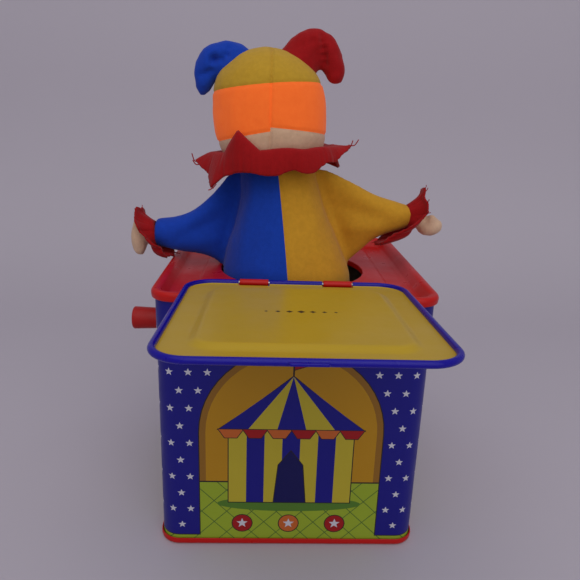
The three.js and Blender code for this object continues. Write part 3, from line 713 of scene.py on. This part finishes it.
def lid_sheet(under):
    """The pressed sheet and its bead, from the rings of the yellow side round to the blue one."""
    bead = []
    for k in range(23):
        a = radians(-170 + 12.4 * k)
        bead.append(lid_ring(LID_HALF - BEAD + BEAD * cos(a), HINGE_Z + BEAD * sin(a)))
    flat = LID_TOP - PRESSED
    over = [lid_ring(h, z) for h, z in filleted([(50.2, LID_TOP), (48.8, LID_TOP), (44.4, LID_TOP)], 0.4)]
    over += lid_panel([(44, LID_TOP), (40.5, LID_TOP), (37.5, flat), (20, flat)])
    rings = under[1:] + bead + over
    verts, faces = loft(rings)
    n = len(rings[0])
    faces.append(tuple(range(len(verts) - n, len(verts))))
    yellow = n * (len(under) - 2)
    colours = [0] * yellow + [1] * (len(faces) - yellow)
    opened = [shut_lid_to_open(p) for p in verts]
    sheet = make("lid_sheet", opened, faces, [LID_YELLOW, LID_BLUE], colours)
    fix_normals(sheet)
    return sheet


def lid_field(border):
    """The middle of the yellow side, with a short row of printed diamonds."""
    shapes, inks = [[(x, y) for x, y, _ in border]], ["yellow_field"]
    for k in range(-3, 4):
        x, w = k * 4.6, 1.7 - 0.3 * abs(k)
        shapes.append([(x - w, 0), (x, -w), (x + w, 0), (x, w)])
        inks.append("mark")
    down = Matrix.Rotation(-LID_OPEN, 3, "X") @ Vector((0, 0, -1))

    def place(x, y):
        return shut_lid_to_open((x, y, border[0][2])), down

    return painted("field", shapes, inks, [], place, {"yellow_field": LID_YELLOW, "mark": INK["line"]})


def lid_lip():
    """The small lip on the free edge that the latch hooks over."""
    outline = [(-6.5, 0.7), (-5.8, 1.6), (5.8, 1.6), (6.5, 0.7), (6.5, -0.8), (-6.5, -0.8)]
    rings = []
    for z in (HINGE_Z - 0.5, HINGE_Z + 0.5):
        rings.append([shut_lid_to_open((x, -LID_HALF - y * 0.8, z)) for x, y in outline])
    lip = solid("lip", rings, LID_BLUE)
    modify(lip, "BEVEL", width=0.25 * MM, segments=3)
    return lip


def open_lid():
    """Drawn shut, then thrown back. The yellow side is the one that faces down when the lid is shut."""
    low = LID_UNDER - PRESSED
    under = lid_panel([(20, low), (37.2, low), (40.2, LID_UNDER), (44, LID_UNDER)])
    edge = [(45, LID_UNDER), (48.8, LID_UNDER), (49.4, LID_UNDER - 0.4)]
    under += [lid_ring(h, z) for h, z in filleted(edge, 0.4)]
    sheet = lid_sheet(under)
    field = lid_field(under[1])
    gaps = []
    for x in (-20, 20):
        corner = (x - GAP_HALF, HINGE_Y - 2.7, HINGE_Z - 3.4)
        gaps.append((corner, (x + GAP_HALF, HINGE_Y + 3.2, HINGE_Z + 3.4)))
    cut_boxes(sheet, gaps)
    whole = joined("lid_panel", [sheet, field, lid_lip()])
    stand_in(whole, "lid", ["lid"], "yellow_tin")


# ---------------------------------------------------------------- crank and screws
def crank():
    knob = [
        (74, 1.9), (74, 5.5), (74.5, 5.9), (89.9, 6.5), (90.7, 5.9), (90.7, 3.2), (88.6, 3.2),
        (88.6, 1.9),
    ]
    obj = lathe("knob_barrel", filleted(knob, 0.5), RED_PLASTIC, at=(0, KNOB_Z))
    stand_in(obj, "knob", ["crank_knob"], "red_plastic")
    bush = [(65.45, 2.2), (67.9, 2.2), (67.9, 5.7), (67.3, 6.3), (66.3, 6.3), (66.3, 4.2), (65.45, 4.2)]
    obj = lathe("bush_ring", filleted(bush, 0.3), RED_PLASTIC, at=(0, CRANK_Z))
    stand_in(obj, "case", ["crank_bush"], "red_plastic")
    pin = [
        (68.7, 0.05), (68.7, 2.6), (69.7, 2.6), (69.8, 1.6), (89, 1.6), (89, 2.6), (89.8, 2.2),
        (90.1, 0.05),
    ]
    obj = lathe("knob_rivet", filleted(pin, 0.3), STEEL, at=(0, KNOB_Z), sides=32)
    stand_in(obj, "crank", ["knob_pin"], "steel")
    for k, (y, z) in enumerate([(-36, 54), (-36, 88), (8, 54), (8, 88)]):
        head = [(62.6, 0.05), (62.6, 1.3), (66.3, 1.3), (66.3, 2.75), (67.0, 2.5), (67.6, 1.3), (67.75, 0.05)]
        screw = lathe(f"screw_head_{k + 1}", filleted(head, 0.35), STEEL, at=(y, z), sides=32)
        slot_ = ((67.15, y - 1.7, z - 0.28), (68.2, y + 1.7, z + 0.28))
        cross = ((67.15, y - 0.28, z - 1.7), (68.2, y + 0.28, z + 1.7))
        cut_boxes(screw, [slot_, cross])
        sharp_edges(screw, 40)
        stand_in(screw, "case", [f"frame_screw_{k + 1}"], "steel")


KEPT = {
    STEEL: [
        "movement_frame", "drum_shaft", "music_comb", "release_lever", "lid_latch", "latch_bracket_1",
        "latch_bracket_2", "latch_spring", "spring_seat", "hinge_wire", "crank_shaft", "crank_arm",
    ],
    BRASS: [
        "music_drum", "comb_screw_1", "comb_screw_2", "lever_pin", "seat_rivet_1", "seat_rivet_2",
        "seat_rivet_3",
    ],
    WHITE_PLASTIC: ["crank_pinion", "drum_gear", "release_cam", "neck_disc"],
}


def bevelled(obj, width, apply=True):
    limit = radians(50)
    modify(obj, "BEVEL", apply, width=width * MM, segments=2, limit_method="ANGLE", angle_limit=limit)


def finish_kept_nodes():
    for material, names in KEPT.items():
        for name in names:
            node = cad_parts[name]
            node.data.materials.clear()
            node.data.materials.append(material)
            bevelled(node, 0.45 if name == "crank_arm" else 0.12, apply=False)


def spring():
    turns, steps = 11, 24
    path = []
    for k in range(turns * steps + 1):
        t = k / (turns * steps)
        z = 3.5 + (NECK_Z - 2.6 - 3.5) * t
        r, a = 23.5 - 10.5 * t, 2 * pi * turns * t
        path.append((lean(z) + r * cos(a), r * sin(a), z))
    coil = make("coil", *loft(tube(path, 0.9, 8), capped=True), [STEEL])
    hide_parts("jack_spring")
    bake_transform(coil)


# ---------------------------------------------------------------- the clown's costume
CONE = [
    (2.6, 28), (40, 29), (90, 32), (120, 35.6), (134, 35.4), (142, 33.2), (150, 30.4), (160, 27),
    (168, 24.4), (176, 22.4), (183, 21), (189, 19.6), (193, 17),
]
WINGS = {
    # x, lowest z, highest z, half depth in y
    "blue": [
        (12, 118, 190, 4), (22, 118, 190, 4.4), (30, 120, 189, 4.8), (36, 128, 184.6, 5.6),
        (42.2, 134, 176.6, 6.6), (48.8, 138, 169.2, 7.4), (55.4, 140, 164.3, 7.8),
        (62.2, 141.4, 161.6, 7.8), (71.4, 143.6, 160.4, 7.6), (76.4, 145, 159.2, 7),
    ],
    "yellow": [
        (4, 118, 190, 4), (-8, 118, 190, 4.4), (-19, 121, 187.6, 4.8), (-27, 130, 184, 5.6),
        (-33, 137, 181, 6.6), (-39, 143.6, 178.2, 7.4), (-45, 149.6, 175.8, 7.8),
        (-50, 153.2, 174.2, 7.8), (-55.2, 155.6, 172.6, 7.6), (-60.4, 157.2, 171.2, 7),
        (-64.4, 158.6, 170.2, 6.4),
    ],
}


def middle(z):
    """The costume's middle seam hangs a little to -X of the spring, most of all at the hole."""
    return lean(z) - 0.5 - 1.2 * clamp((188 - z) / 54)


def costume():
    rings = [oval((middle(z), 0, z), (r, 0, 0), (0, r, 0), 64) for z, r in curve_points(CONE, 4)]
    parts = [solid("cone", rings, BLUE_FELT)]
    for stations in WINGS.values():
        rings = []
        for x, low, high, depth in curve_points(stations, 4):
            back = -6.5 * clamp((62 - abs(x - 6)) / 30)
            centre = (x, back, (low + high) / 2)
            rings.append(oval(centre, (0, 0, (high - low) / 2), (0, depth, 0), 40))
        parts.append(solid("wing", rings, BLUE_FELT))
    body = joined("costume", parts)
    modify(body, "REMESH", mode="VOXEL", voxel_size=1.4 * MM)
    modify(body, "SMOOTH", factor=0.5, iterations=4)
    drape(body)
    modify(body, "SMOOTH", factor=0.5, iterations=2)
    split_costume(body)


# Broad folds of the costume: a line from (x, z) to (x, z), its half width, and its height or minus its depth.
FOLDS = [
    ((21, 184), (30, 134), 3.4, 0.9), ((28, 182), (40, 140), 4.2, -1.6),
    ((-4, 184), (-17, 134), 3.4, 0.9), ((-14, 182), (-31, 142), 4.2, -1.5),
    ((38, 172), (66, 152), 4.0, 1.2), ((42, 160), (70, 147.5), 3.6, -1.2),
    ((36, 150), (56, 146), 3.6, 0.9), ((-16, 184), (-54, 166), 4.0, 1.1),
    ((-24, 168), (-58, 162.5), 3.6, -1.3), ((-26, 156), (-46, 158), 3.4, 0.9),
    ((10, 150), (14, 120), 7.0, 0.5), ((-8, 150), (-13, 120), 6.0, -0.5),
]


def drape(obj):
    """Raises the folds, and lets the cloth wander a little."""

    def rise(p, _):
        flat = Vector((p.x, p.z))
        front = 1.0 if p.y > 0 else 0.8
        total = 0.7 * noise.noise(p / 17) + 0.25 * noise.noise(p / 6)
        for start, end, half, height in FOLDS:
            a, b = Vector(start), Vector(end)
            near = clamp((flat - a).dot(b - a) / (b - a).length_squared)
            gap = (flat - a - (b - a) * near).length
            fade = 0.35 + 0.65 * sin(pi * min(1, near + 0.12))
            total += front * height * exp(-((gap / half) ** 2)) * fade
        return total * clamp((p.z - 100) / 20)

    pushed(obj, rise)


# Each armhole seam crosses z 150 at this x, and slopes outwards as it goes down.
ARMHOLES = {1: 36.5, -1: -27.5}
ARM_SLOPE = 0.32


def in_sleeve(side, x, z):
    return z > 100 and side * (x - ARMHOLES[side]) > ARM_SLOPE * (150 - z)


def split_costume(obj):
    """Presses in the middle seam, then slices there and round the armholes, and shares the faces out."""
    pushed(obj, lambda p, _: -0.7 * exp(-(((p.x - middle(p.z)) / 0.9) ** 2)) if p.z > 60 else 0)
    bm = bmesh.new()
    bm.from_mesh(obj.data)
    # The middle seam follows the leaning axis, so straighten it, slice, and lean it again.
    for v in bm.verts:
        v.co.x -= middle(v.co.z / MM) * MM
    sliced(bm, (0, 0, 0), (1, 0, 0), 1e-6)
    for v in bm.verts:
        v.co.x += middle(v.co.z / MM) * MM
    for side, x in ARMHOLES.items():
        sliced(bm, (x, 0, 150), Vector((1, 0, side * ARM_SLOPE)).normalized(), 1e-6)
    bm.to_mesh(obj.data)
    bm.free()
    obj.data.update()
    mesh = obj.data
    shares = {"body_blue": [], "body_yellow": [], "arm_blue": [], "arm_yellow": []}
    for p in mesh.polygons:
        x, z = p.center.x / MM, p.center.z / MM
        colour = "blue" if x > middle(z) else "yellow"
        part = "arm" if in_sleeve(1, x, z) or in_sleeve(-1, x, z) else "body"
        shares[part + "_" + colour].append(p.index)
    look = {
        "body_blue": ("costume_blue", BLUE_FELT, "blue_felt"),
        "body_yellow": ("costume_yellow", YELLOW_FELT, "yellow_felt"),
        "arm_blue": ("sleeve_blue", BLUE_FELT, "blue_felt"),
        "arm_yellow": ("sleeve_yellow", YELLOW_FELT, "yellow_felt"),
    }
    for share, faces in shares.items():
        node, material, slot_ = look[share]
        piece = cut_out(mesh, faces, "felt_" + share, material)
        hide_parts(node)
        if share.startswith("body"):
            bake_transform(piece)
        else:
            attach(piece, "jack")
            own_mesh(piece)
    bpy.data.objects.remove(obj)


# ---------------------------------------------------------------- felt ruffs
def ruff_sheet(name, rows, material, thickness=1.1):
    """A closed band of cloth from rows of points, given some thickness."""
    obj = make(name, *loft(rows), [material])
    fix_normals(obj)
    modify(obj, "SOLIDIFY", thickness=thickness * MM, offset=0)
    return obj


def thread(points, radius, sides, per):
    """A loose end of yarn through a few points."""
    path = curve_points([tuple(p) for p in points], per)
    return make("thread", *loft(tube(path, radius, sides), capped=True), [RED_FELT])


def between(table, angle):
    """Straight-line values between the entries of a table of [angle, values...] that goes round in 360."""
    angle %= 360
    rows = [*table, (table[0][0] + 360, *table[0][1:])]
    if angle < rows[0][0]:
        angle += 360
    for a, b in zip(rows, rows[1:]):
        if a[0] <= angle <= b[0]:
            t = (angle - a[0]) / (b[0] - a[0])
            return [p + (q - p) * t for p, q in zip(a[1:], b[1:])]
    return list(rows[0][1:])


# Angle round the neck from +X, then radius and height of the collar's edge, points and notches in turn.
COLLAR_EDGE = [
    (3, 41.5, 191.5), (18, 35, 185), (34, 38, 179.5), (44, 35, 186), (56, 34.4, 187.8), (70, 33.2, 188.4),
    (82, 32.4, 187.6), (95, 32.6, 187.2), (108, 32, 190.4), (126, 33.4, 189), (140, 34.6, 193),
    (152, 35.4, 193.6), (172, 40, 202), (188, 34, 193), (207, 41, 188), (225, 33, 192), (246, 39, 185),
    (266, 33, 190), (286, 39, 184), (306, 33, 190), (326, 40, 186), (344, 34, 190),
]


# Angle round the neck, then how far each thread reaches out and rises.
LOOSE_THREADS = [(4, 3.4, 4), (7, 4.2, 2), (172, 5.2, 3), (174, 3, 3.5), (34, 2.6, -1), (37, 2, -2)]


def collar():
    """A red felt ruff: up from the neck, over a crest, and down to its points, with one flipped up."""
    centre = Vector((11.6, 0, 0))
    rng = random.Random(11)
    steps, layers = 288, 16
    rows = [[] for _ in range(layers + 1)]
    for k in range(steps):
        a = radians(360 * k / steps)
        r_edge, z_edge = between(COLLAR_EDGE, degrees(a))
        r_edge += rng.uniform(-0.35, 0.35)
        tilt = -3.0 * cos(a)
        flap = max(0.0, 1 - abs(degrees(a) - 57) / 19)
        crest_z = 199.4 + tilt * (1.2 if cos(a) > 0 else 0.6) + 10.6 * flap
        crest = (30.4 + 1.2 * cos(a) ** 2 + 2.2 * flap, crest_z)
        section = [(15.5, 189 + tilt * 0.3), (23.5, 194.5 + tilt * 0.8), crest]
        section.append(((crest[0] * 0.4 + r_edge * 0.6) + 0.8, crest[1] * 0.45 + z_edge * 0.55))
        section.append((r_edge, z_edge))
        line = curve_points(section, layers // 4)
        for j, (r, z) in enumerate(line):
            t = j / layers
            p = Vector((cos(a) * 3.2, sin(a) * 3.2, t))
            r += 1.1 * t * noise.noise(p)
            z += 1.4 * t * noise.noise(p + Vector((9, 4, 2)))
            rows[j].append((centre.x + r * cos(a), r * 0.96 * sin(a), z))
    ruff = ruff_sheet("neck_ruff", rows, RED_FELT)
    threads = []
    for angle, reach, rise in LOOSE_THREADS:
        r, z = between(COLLAR_EDGE, angle)
        out = Vector((cos(radians(angle)), sin(radians(angle)), 0))
        start = Vector((centre.x + (r - 0.8) * out.x, r * 0.96 * out.y, z))
        mid = start + out * reach * 0.6 + Vector((0, 0, rise * 0.2 - 0.6))
        end = start + out * reach + Vector((0, 0, rise))
        threads.append(thread([start, mid, end], 0.28, 6, 6))
    ruff = joined("neck_ruff", [ruff, *threads])
    stand_in(ruff, "jack", ["collar"], "red_felt")
    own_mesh(ruff)


def cuff(name, node, at, along, seed, size, flare, sweep):
    """A cut frill round the wrist. Its low side flops back along the sleeve by up to `sweep`."""
    rng = random.Random(seed)
    along = Vector(along).normalized()
    side = Vector((0, 1, 0))
    up = along.cross(side)
    up *= copysign(1, up.z)
    steps, layers = 132, 8
    rows = [[] for _ in range(layers + 1)]
    points = 8
    for k in range(steps):
        a = 2 * pi * k / steps
        saw = abs((a * points / (2 * pi) + 0.3) % 1 * 2 - 1)
        r_edge = size * (0.88 + 0.14 * saw) + rng.uniform(-0.6, 0.6)
        for j in range(layers + 1):
            t = j / layers
            r = 5.6 + (r_edge - 5.6) * t
            push = -0.4 + flare * sin(t * 1.7) + 1.1 * t * sin(3 * a + seed)
            push += 1.2 * t * noise.noise(Vector((a * 2, t, seed)))
            push -= sweep * t * t * max(0.0, 0.25 - sin(a)) / 1.25
            p = Vector(at) + along * push + side * (r * 0.82 * cos(a)) + up * (r * sin(a))
            rows[j].append(tuple(p))
    obj = ruff_sheet(name, rows, RED_FELT, 1.0)
    threads = []
    for _ in range(7):
        place = rng.randrange(steps)
        start = Vector(rows[-1][place])
        out = (start - Vector(rows[-3][place])).normalized() + along * rng.uniform(-0.2, 0.4)
        end = start + out * rng.uniform(2, 3)
        threads.append(thread([start, start + out * 1.4 + along * 0.4, end], 0.2, 5, 4))
    obj = joined(name, [obj, *threads])
    stand_in(obj, "jack", [node], "red_felt")
    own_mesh(obj)


# ---------------------------------------------------------------- stuffed pieces
def stuffed(obj, voxel, pressure, frames, cap):
    """Sews and fills a closed shape: remesh, blow it up a little under cloth, then smooth once more."""
    modify(obj, "REMESH", mode="VOXEL", voxel_size=voxel * MM)
    rest = np.array([v.co for v in obj.data.vertices])
    m = obj.modifiers.new("cloth", "CLOTH")
    m.settings.use_pressure = True
    m.settings.uniform_pressure_force = pressure
    m.settings.quality = 5
    m.settings.mass = 0.2
    m.settings.tension_stiffness = 25
    m.settings.compression_stiffness = 25
    m.settings.bending_stiffness = 0.9
    m.settings.effector_weights.gravity = 0
    m.point_cache.frame_start, m.point_cache.frame_end = 1, frames
    scene = bpy.context.scene
    scene.frame_start, scene.frame_end = 1, frames
    for f in range(1, frames + 1):
        scene.frame_set(f)
    evaluated = obj.evaluated_get(bpy.context.evaluated_depsgraph_get())
    moved = np.array([v.co for v in evaluated.data.vertices])
    obj.modifiers.remove(m)
    scene.frame_set(1)
    step = moved - rest
    length = np.linalg.norm(step, axis=1, keepdims=True)
    step *= np.minimum(1, cap * MM / np.maximum(length, 1e-9))
    obj.data.vertices.foreach_set("co", (rest + step).ravel())
    obj.data.update()
    modify(obj, "SUBSURF", levels=1, render_levels=1)


HEAD_PROFILE = [
    # depth below the crown, radius
    (0.0, 0.4), (1.6, 9), (6.2, 18.2), (13, 25.4), (19.4, 28.4), (28, 29.6), (40, 29.7), (49, 28),
    (54, 25.4), (58, 21.5), (61, 16), (62.5, 10),
]
HAT_LINE = (Vector((13.7, 0, 229)), Vector((0.108, -0.055, 1)).normalized())
HAIR_LINE = (Vector((14, 0, 206.4)), Vector((0.19, -0.065, 1)).normalized())
HAIR_RIGHT = (HAIR_LINE[0] + Vector((0, 0, 1.9)), Vector((-0.06, -0.065, 1)).normalized())
FACE_Y = -11.0


def head():
    rings = []
    for depth, r in curve_points(HEAD_PROFILE, 3):
        z = 249.2 - depth
        rings.append(oval((14.4 + 0.05 * (z - 216), 0, z), (r, 0, 0), (0, 0.95 * r, 0), 48))
    ball = solid("head", rings, SKIN_FELT)
    stuffed(ball, 3.2, 3.0, 14, 1.6)
    modify(ball, "SUBSURF", levels=1, render_levels=1)
    bm = bmesh.new()
    bm.from_mesh(ball.data)

    def height(p, line):
        return (p - line[0] * MM).dot(line[1]) / MM

    middle = 13.9
    for v in bm.verts:
        p = v.co.copy()
        x, y = p.x / MM, p.y / MM
        pull = 0.0
        hat, hair = height(p, HAT_LINE), height(p, HAIR_RIGHT if x < middle else HAIR_LINE)
        if y > FACE_Y:
            pull += 0.45 * exp(-((hair / 0.8) ** 2))
        pull += 0.5 * exp(-((hat / 0.8) ** 2))
        if y > 0:
            pull += 1.3 * exp(-(((x - middle) / 0.6) ** 2))
        if hair < 1:
            pull += 0.2 * exp(-((hair / 4) ** 2))
        at = Vector((x, y, p.z / MM))
        pull -= 0.5 * noise.noise(at / 14) + 0.18 * noise.noise(at / 5)
        v.co -= v.normal * pull * MM
    for co, no in (
        HAT_LINE,
        HAIR_LINE,
        HAIR_RIGHT,
        (Vector((middle, 0, 0)), Vector((1, 0, 0))),
        (Vector((0, FACE_Y, 0)), Vector((0, 1, 0))),
    ):
        sliced(bm, co, no)
    bm.to_mesh(ball.data)
    bm.free()
    mesh = ball.data
    shares = {"hat": [], "hair": [], "skin": []}
    for p in mesh.polygons:
        c = p.center
        hair = height(c, HAIR_RIGHT if c.x / MM < middle else HAIR_LINE)
        if height(c, HAT_LINE) > 0:
            shares["hat"].append(p.index)
        elif hair > 0 and c.y / MM > FACE_Y:
            shares["hair"].append(p.index)
        else:
            shares["skin"].append(p.index)
    look = {
        "hat": ("hat_crown", HAT_FELT, "yellow_felt"),
        "hair": ("hair_band", ORANGE_FELT, "orange_felt"),
        "skin": ("head_skin", SKIN_FELT, "skin_felt"),
    }
    for share, faces in shares.items():
        node, material, slot_ = look[share]
        piece = cut_out(mesh, faces, "stuffed_" + share, material)
        stand_in(piece, "jack", [node], slot_)
    bpy.data.objects.remove(ball)


HORNS = {
    # x, y, z, half width, half depth
    "blue": [
        (26, 0, 232, 12, 11), (33, 0, 240, 10.6, 9), (39.4, 0, 243, 8, 8), (45.2, 0, 240, 7.4, 7.2),
        (48, 0, 233.8, 6.2, 6.2), (49.2, 0, 227.4, 4, 4.4), (49.2, 0, 223.6, 1.6, 2),
    ],
    "red": [
        (4, 0, 236, 12, 11), (0, 0, 243, 10.6, 9), (-3.5, 0, 249, 8.6, 8), (-9, 0, 251.4, 7, 7.2),
        (-14, 0, 248, 6.6, 6.6), (-17.4, 0, 241.6, 6.2, 6), (-19, 0, 235.6, 5.2, 5.2),
        (-19.6, 0, 231.6, 2.6, 3),
    ],
}
HORN_FOLDS = {
    # x, z, radius, depth of each dent
    "blue": [
        (43, 241.5, 2.2, 3.8), (35.4, 247.4, 1.8, 1.5), (36.4, 244, 1.8, 1.9), (38.8, 241.4, 2, 1.7),
        (50, 234, 1.8, 1), (47, 234.6, 1.8, 1.4), (44.4, 235.8, 1.8, 1.4),
    ],
    "red": [
        (-10.8, 255, 1.7, 1.4), (-11.2, 252, 1.7, 1.9), (-11.8, 248.6, 1.7, 2.2), (-12.4, 245, 1.7, 2.2),
        (-12.8, 241.4, 1.7, 1.8), (-6, 252, 2, 0.8),
    ],
}


def horn(colour, material, node, slot_):
    path = curve_points(HORNS[colour], 6)
    rings = []
    for i, (x, y, z, half, depth) in enumerate(path):
        a, b = path[max(i - 1, 0)], path[min(i + 1, len(path) - 1)]
        ahead = Vector((b[0] - a[0], 0, b[2] - a[2])).normalized()
        across = Vector((ahead.z, 0, -ahead.x))
        rings.append(oval((x, y, z), across * half, (0, depth, 0), 28))
    obj = solid("horn_" + colour, rings, material)
    modify(obj, "REMESH", mode="VOXEL", voxel_size=1.6 * MM)
    modify(obj, "SMOOTH", factor=0.5, iterations=4)
    stuffed(obj, 2.2, 3.0, 12, 0.8)

    def rise(p, n):
        total = 0.6 * noise.noise(p / 6)
        for x, z, r, depth in HORN_FOLDS[colour]:
            total -= depth * exp(-(((p.x - x) ** 2 + (p.z - z) ** 2) / r**2)) * abs(n.y)
        return total

    pushed(obj, rise)
    stand_in(obj, "jack", [node], slot_)
    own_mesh(obj)


def ball(name, sphere, centre, halves, material, ruffle=0.0):
    """A unit sphere stretched to its half sizes, its surface ruffled by a share of them."""
    verts = []
    for v in sphere.verts:
        grow = 1 + ruffle * (noise.noise(v.co * 6) + 0.6 * noise.noise(v.co * 15))
        verts.append(tuple(c + a * b * grow for c, a, b in zip(centre, v.co, halves)))
    faces = [tuple(v.index for v in f.verts) for f in sphere.faces]
    sphere.free()
    return make(name, verts, faces, [material])


def hand(name, node, halves, at, thumb, wrist):
    """A mitten with a thumb, and a neck that goes into the cuff."""
    balls = [(at, halves), (thumb, (2.6, 3.2, 3.2))]
    parts = []
    for centre, halves_ in balls:
        bm = bmesh.new()
        bmesh.ops.create_uvsphere(bm, u_segments=24, v_segments=16, radius=1)
        parts.append(ball("ball", bm, centre, halves_, SKIN_FELT))
    path = curve_points([wrist, tuple((Vector(wrist) + Vector(at)) / 2), at], 5)
    parts.append(make("neck", *loft(tube(path, 3.6, 16), capped=True), [SKIN_FELT]))
    for p in parts:
        fix_normals(p)
    obj = joined(name, parts)
    modify(obj, "REMESH", mode="VOXEL", voxel_size=1.0 * MM)
    modify(obj, "SMOOTH", factor=0.5, iterations=5)
    stuffed(obj, 1.5, 2.0, 12, 0.6)
    # The seam round the mitten's edge.
    pushed(obj, lambda p, _: 0.35 * exp(-((p.y / 0.5) ** 2)) + 0.25 * noise.noise(p / 3))
    stand_in(obj, "jack", [node], "skin_felt")
    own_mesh(obj)


def face():
    """Nose, eyes, smile and the two chest pompoms, all on the side that faces -Y."""
    def fuzzy_ball(name, node, centre, halves, material, slot_, ruffle):
        bm = bmesh.new()
        bmesh.ops.create_icosphere(bm, subdivisions=5, radius=1)
        obj = ball(name, bm, centre, halves, material, ruffle)
        stand_in(obj, "jack", [node], slot_)

    def middle(node):
        low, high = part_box(node)
        return (low + high) / 2 / MM, (high - low) / 2 / MM

    for node, material, slot_, ruffle in (
        ("nose", RED_FELT, "red_felt", 0.03),
        ("eye_left", BLACK_FELT, "black_felt", 0.02),
        ("eye_right", BLACK_FELT, "black_felt", 0.02),
        ("chest_pompom_1", RED_FELT, "red_felt", 0.22),
        ("chest_pompom_2", RED_FELT, "red_felt", 0.22),
    ):
        centre, halves = middle(node)
        halves *= 0.98 if ruffle < 0.1 else 1.0
        fuzzy_ball("soft_" + node, node, centre, halves, material, slot_, ruffle)
    low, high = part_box("mouth")
    low, high = low / MM, high / MM
    stitches = []
    count = 13
    for k in range(count):
        t = (k / (count - 1)) * 2 - 1
        x = (low.x + high.x) / 2 + t * (high.x - low.x) * 0.47
        z = low.z + 1.4 + (high.z - low.z - 2.4) * t * t
        lie = 1 - ((x - HEAD.x) / 30.6) ** 2 - ((z - HEAD.z) / 31.5) ** 2
        y = -29 * sqrt(lie) - 0.2
        slope = atan2(2 * t * (high.z - low.z), (high.x - low.x) / 2)
        reach = Vector((cos(slope), -0.12 * t, sin(slope))) * 1.15
        c = Vector((x, y, z))
        dip = Vector((0, 0.5, 0))
        stitches.append(thread([c - reach + dip, c - dip, c + reach + dip], 0.55, 8, 4))
    smile = joined("stitched_mouth", stitches)
    stand_in(smile, "jack", ["mouth"], "red_felt")


# ---------------------------------------------------------------- build it all
printed_body()
base()
top()
open_lid()
crank()
finish_kept_nodes()
spring()
costume()
head()
horn("blue", BLUE_FELT, "hat_horn_blue", "blue_felt")
horn("red", RED_FELT, "hat_horn_red", "red_felt")
collar()
cuff("wrist_ruff_left", "cuff_left", (75.8, 0, 151.8), (1, 0, -0.2), 5, 15.4, 7.2, 13)
cuff("wrist_ruff_right", "cuff_right", (-62.8, 0, 164.4), (-1, 0, 0.05), 8, 16, 9.2, 26)
hand("mitten_left", "hand_left", (4.4, 5.4, 10.4), (85.4, 0, 148.4), (85.6, 2.4, 156.4), (76.4, 0, 151.6))
hand("mitten_right", "hand_right", (7.4, 5.4, 5.2), (-76.2, 0, 159), (-76.4, 2.4, 163.4), (-64, 0, 164.4))
face()


# ---------------------------------------------------------------- floor, light and camera
def studio():
    m = Material("paper")
    m.mottle((196, 189, 199), 3, 0.02)
    m.bump((200, 0.05))
    m.put(Roughness=0.85)
    profile = filleted([(600, 0), (-520, 0), (-520, 900)], 260, 16)
    verts, faces = [], []
    for y, z in profile:
        verts += [(-1600, y, z), (1600, y, z)]
    for i in range(len(profile) - 1):
        faces.append((2 * i, 2 * i + 1, 2 * i + 3, 2 * i + 2))
    paper = make("paper", verts, faces, [m.data])
    world = bpy.data.worlds.new("world")
    world.use_nodes = True
    world.node_tree.nodes["Background"].inputs["Color"].default_value = (0.93, 0.93, 1.0, 1)
    world.node_tree.nodes["Background"].inputs["Strength"].default_value = 0.35
    bpy.context.scene.world = world
    for name, place_, size, power, colour in (
        ("above", (0.1, 0.42, 1.1), 1.2, 3.0, (1, 0.98, 1)),
        ("behind_camera", (-0.3, 1.2, 0.85), 1.5, 5.2, (1, 0.98, 0.98)),
    ):
        data = bpy.data.lights.new(name, "AREA")
        data.shape = "SQUARE"
        data.size = size
        data.energy = power
        data.color = colour
        lamp = bpy.data.objects.new(name, data)
        bpy.context.scene.collection.objects.link(lamp)
        lamp.location = place_
        lamp.rotation_euler = (Vector((0, 0, 0.12)) - Vector(place_)).to_track_quat("-Z", "Y").to_euler()


def camera():
    yaw, pitch, roll = -0.0402, 0.3011, 0.0348
    forward = Vector((sin(yaw) * cos(pitch), -cos(yaw) * cos(pitch), -sin(pitch)))
    right0 = Vector((-cos(yaw), -sin(yaw), 0))
    up0 = right0.cross(forward)
    right = right0 * cos(roll) + up0 * sin(roll)
    up = up0 * cos(roll) - right0 * sin(roll)
    data = bpy.data.cameras.new("camera")
    data.lens = 35.06
    data.sensor_width = 36
    data.clip_start = 0.01
    cam = bpy.data.objects.new("camera", data)
    bpy.context.scene.collection.objects.link(cam)
    turn = Matrix((right, up, -forward)).transposed().to_4x4()
    cam.matrix_world = Matrix.Translation(Vector((13.15, 310.8, 216.35)) * MM) @ turn
    bpy.context.scene.camera = cam


studio()
camera()
bpy.context.scene.view_settings.view_transform = "Standard"
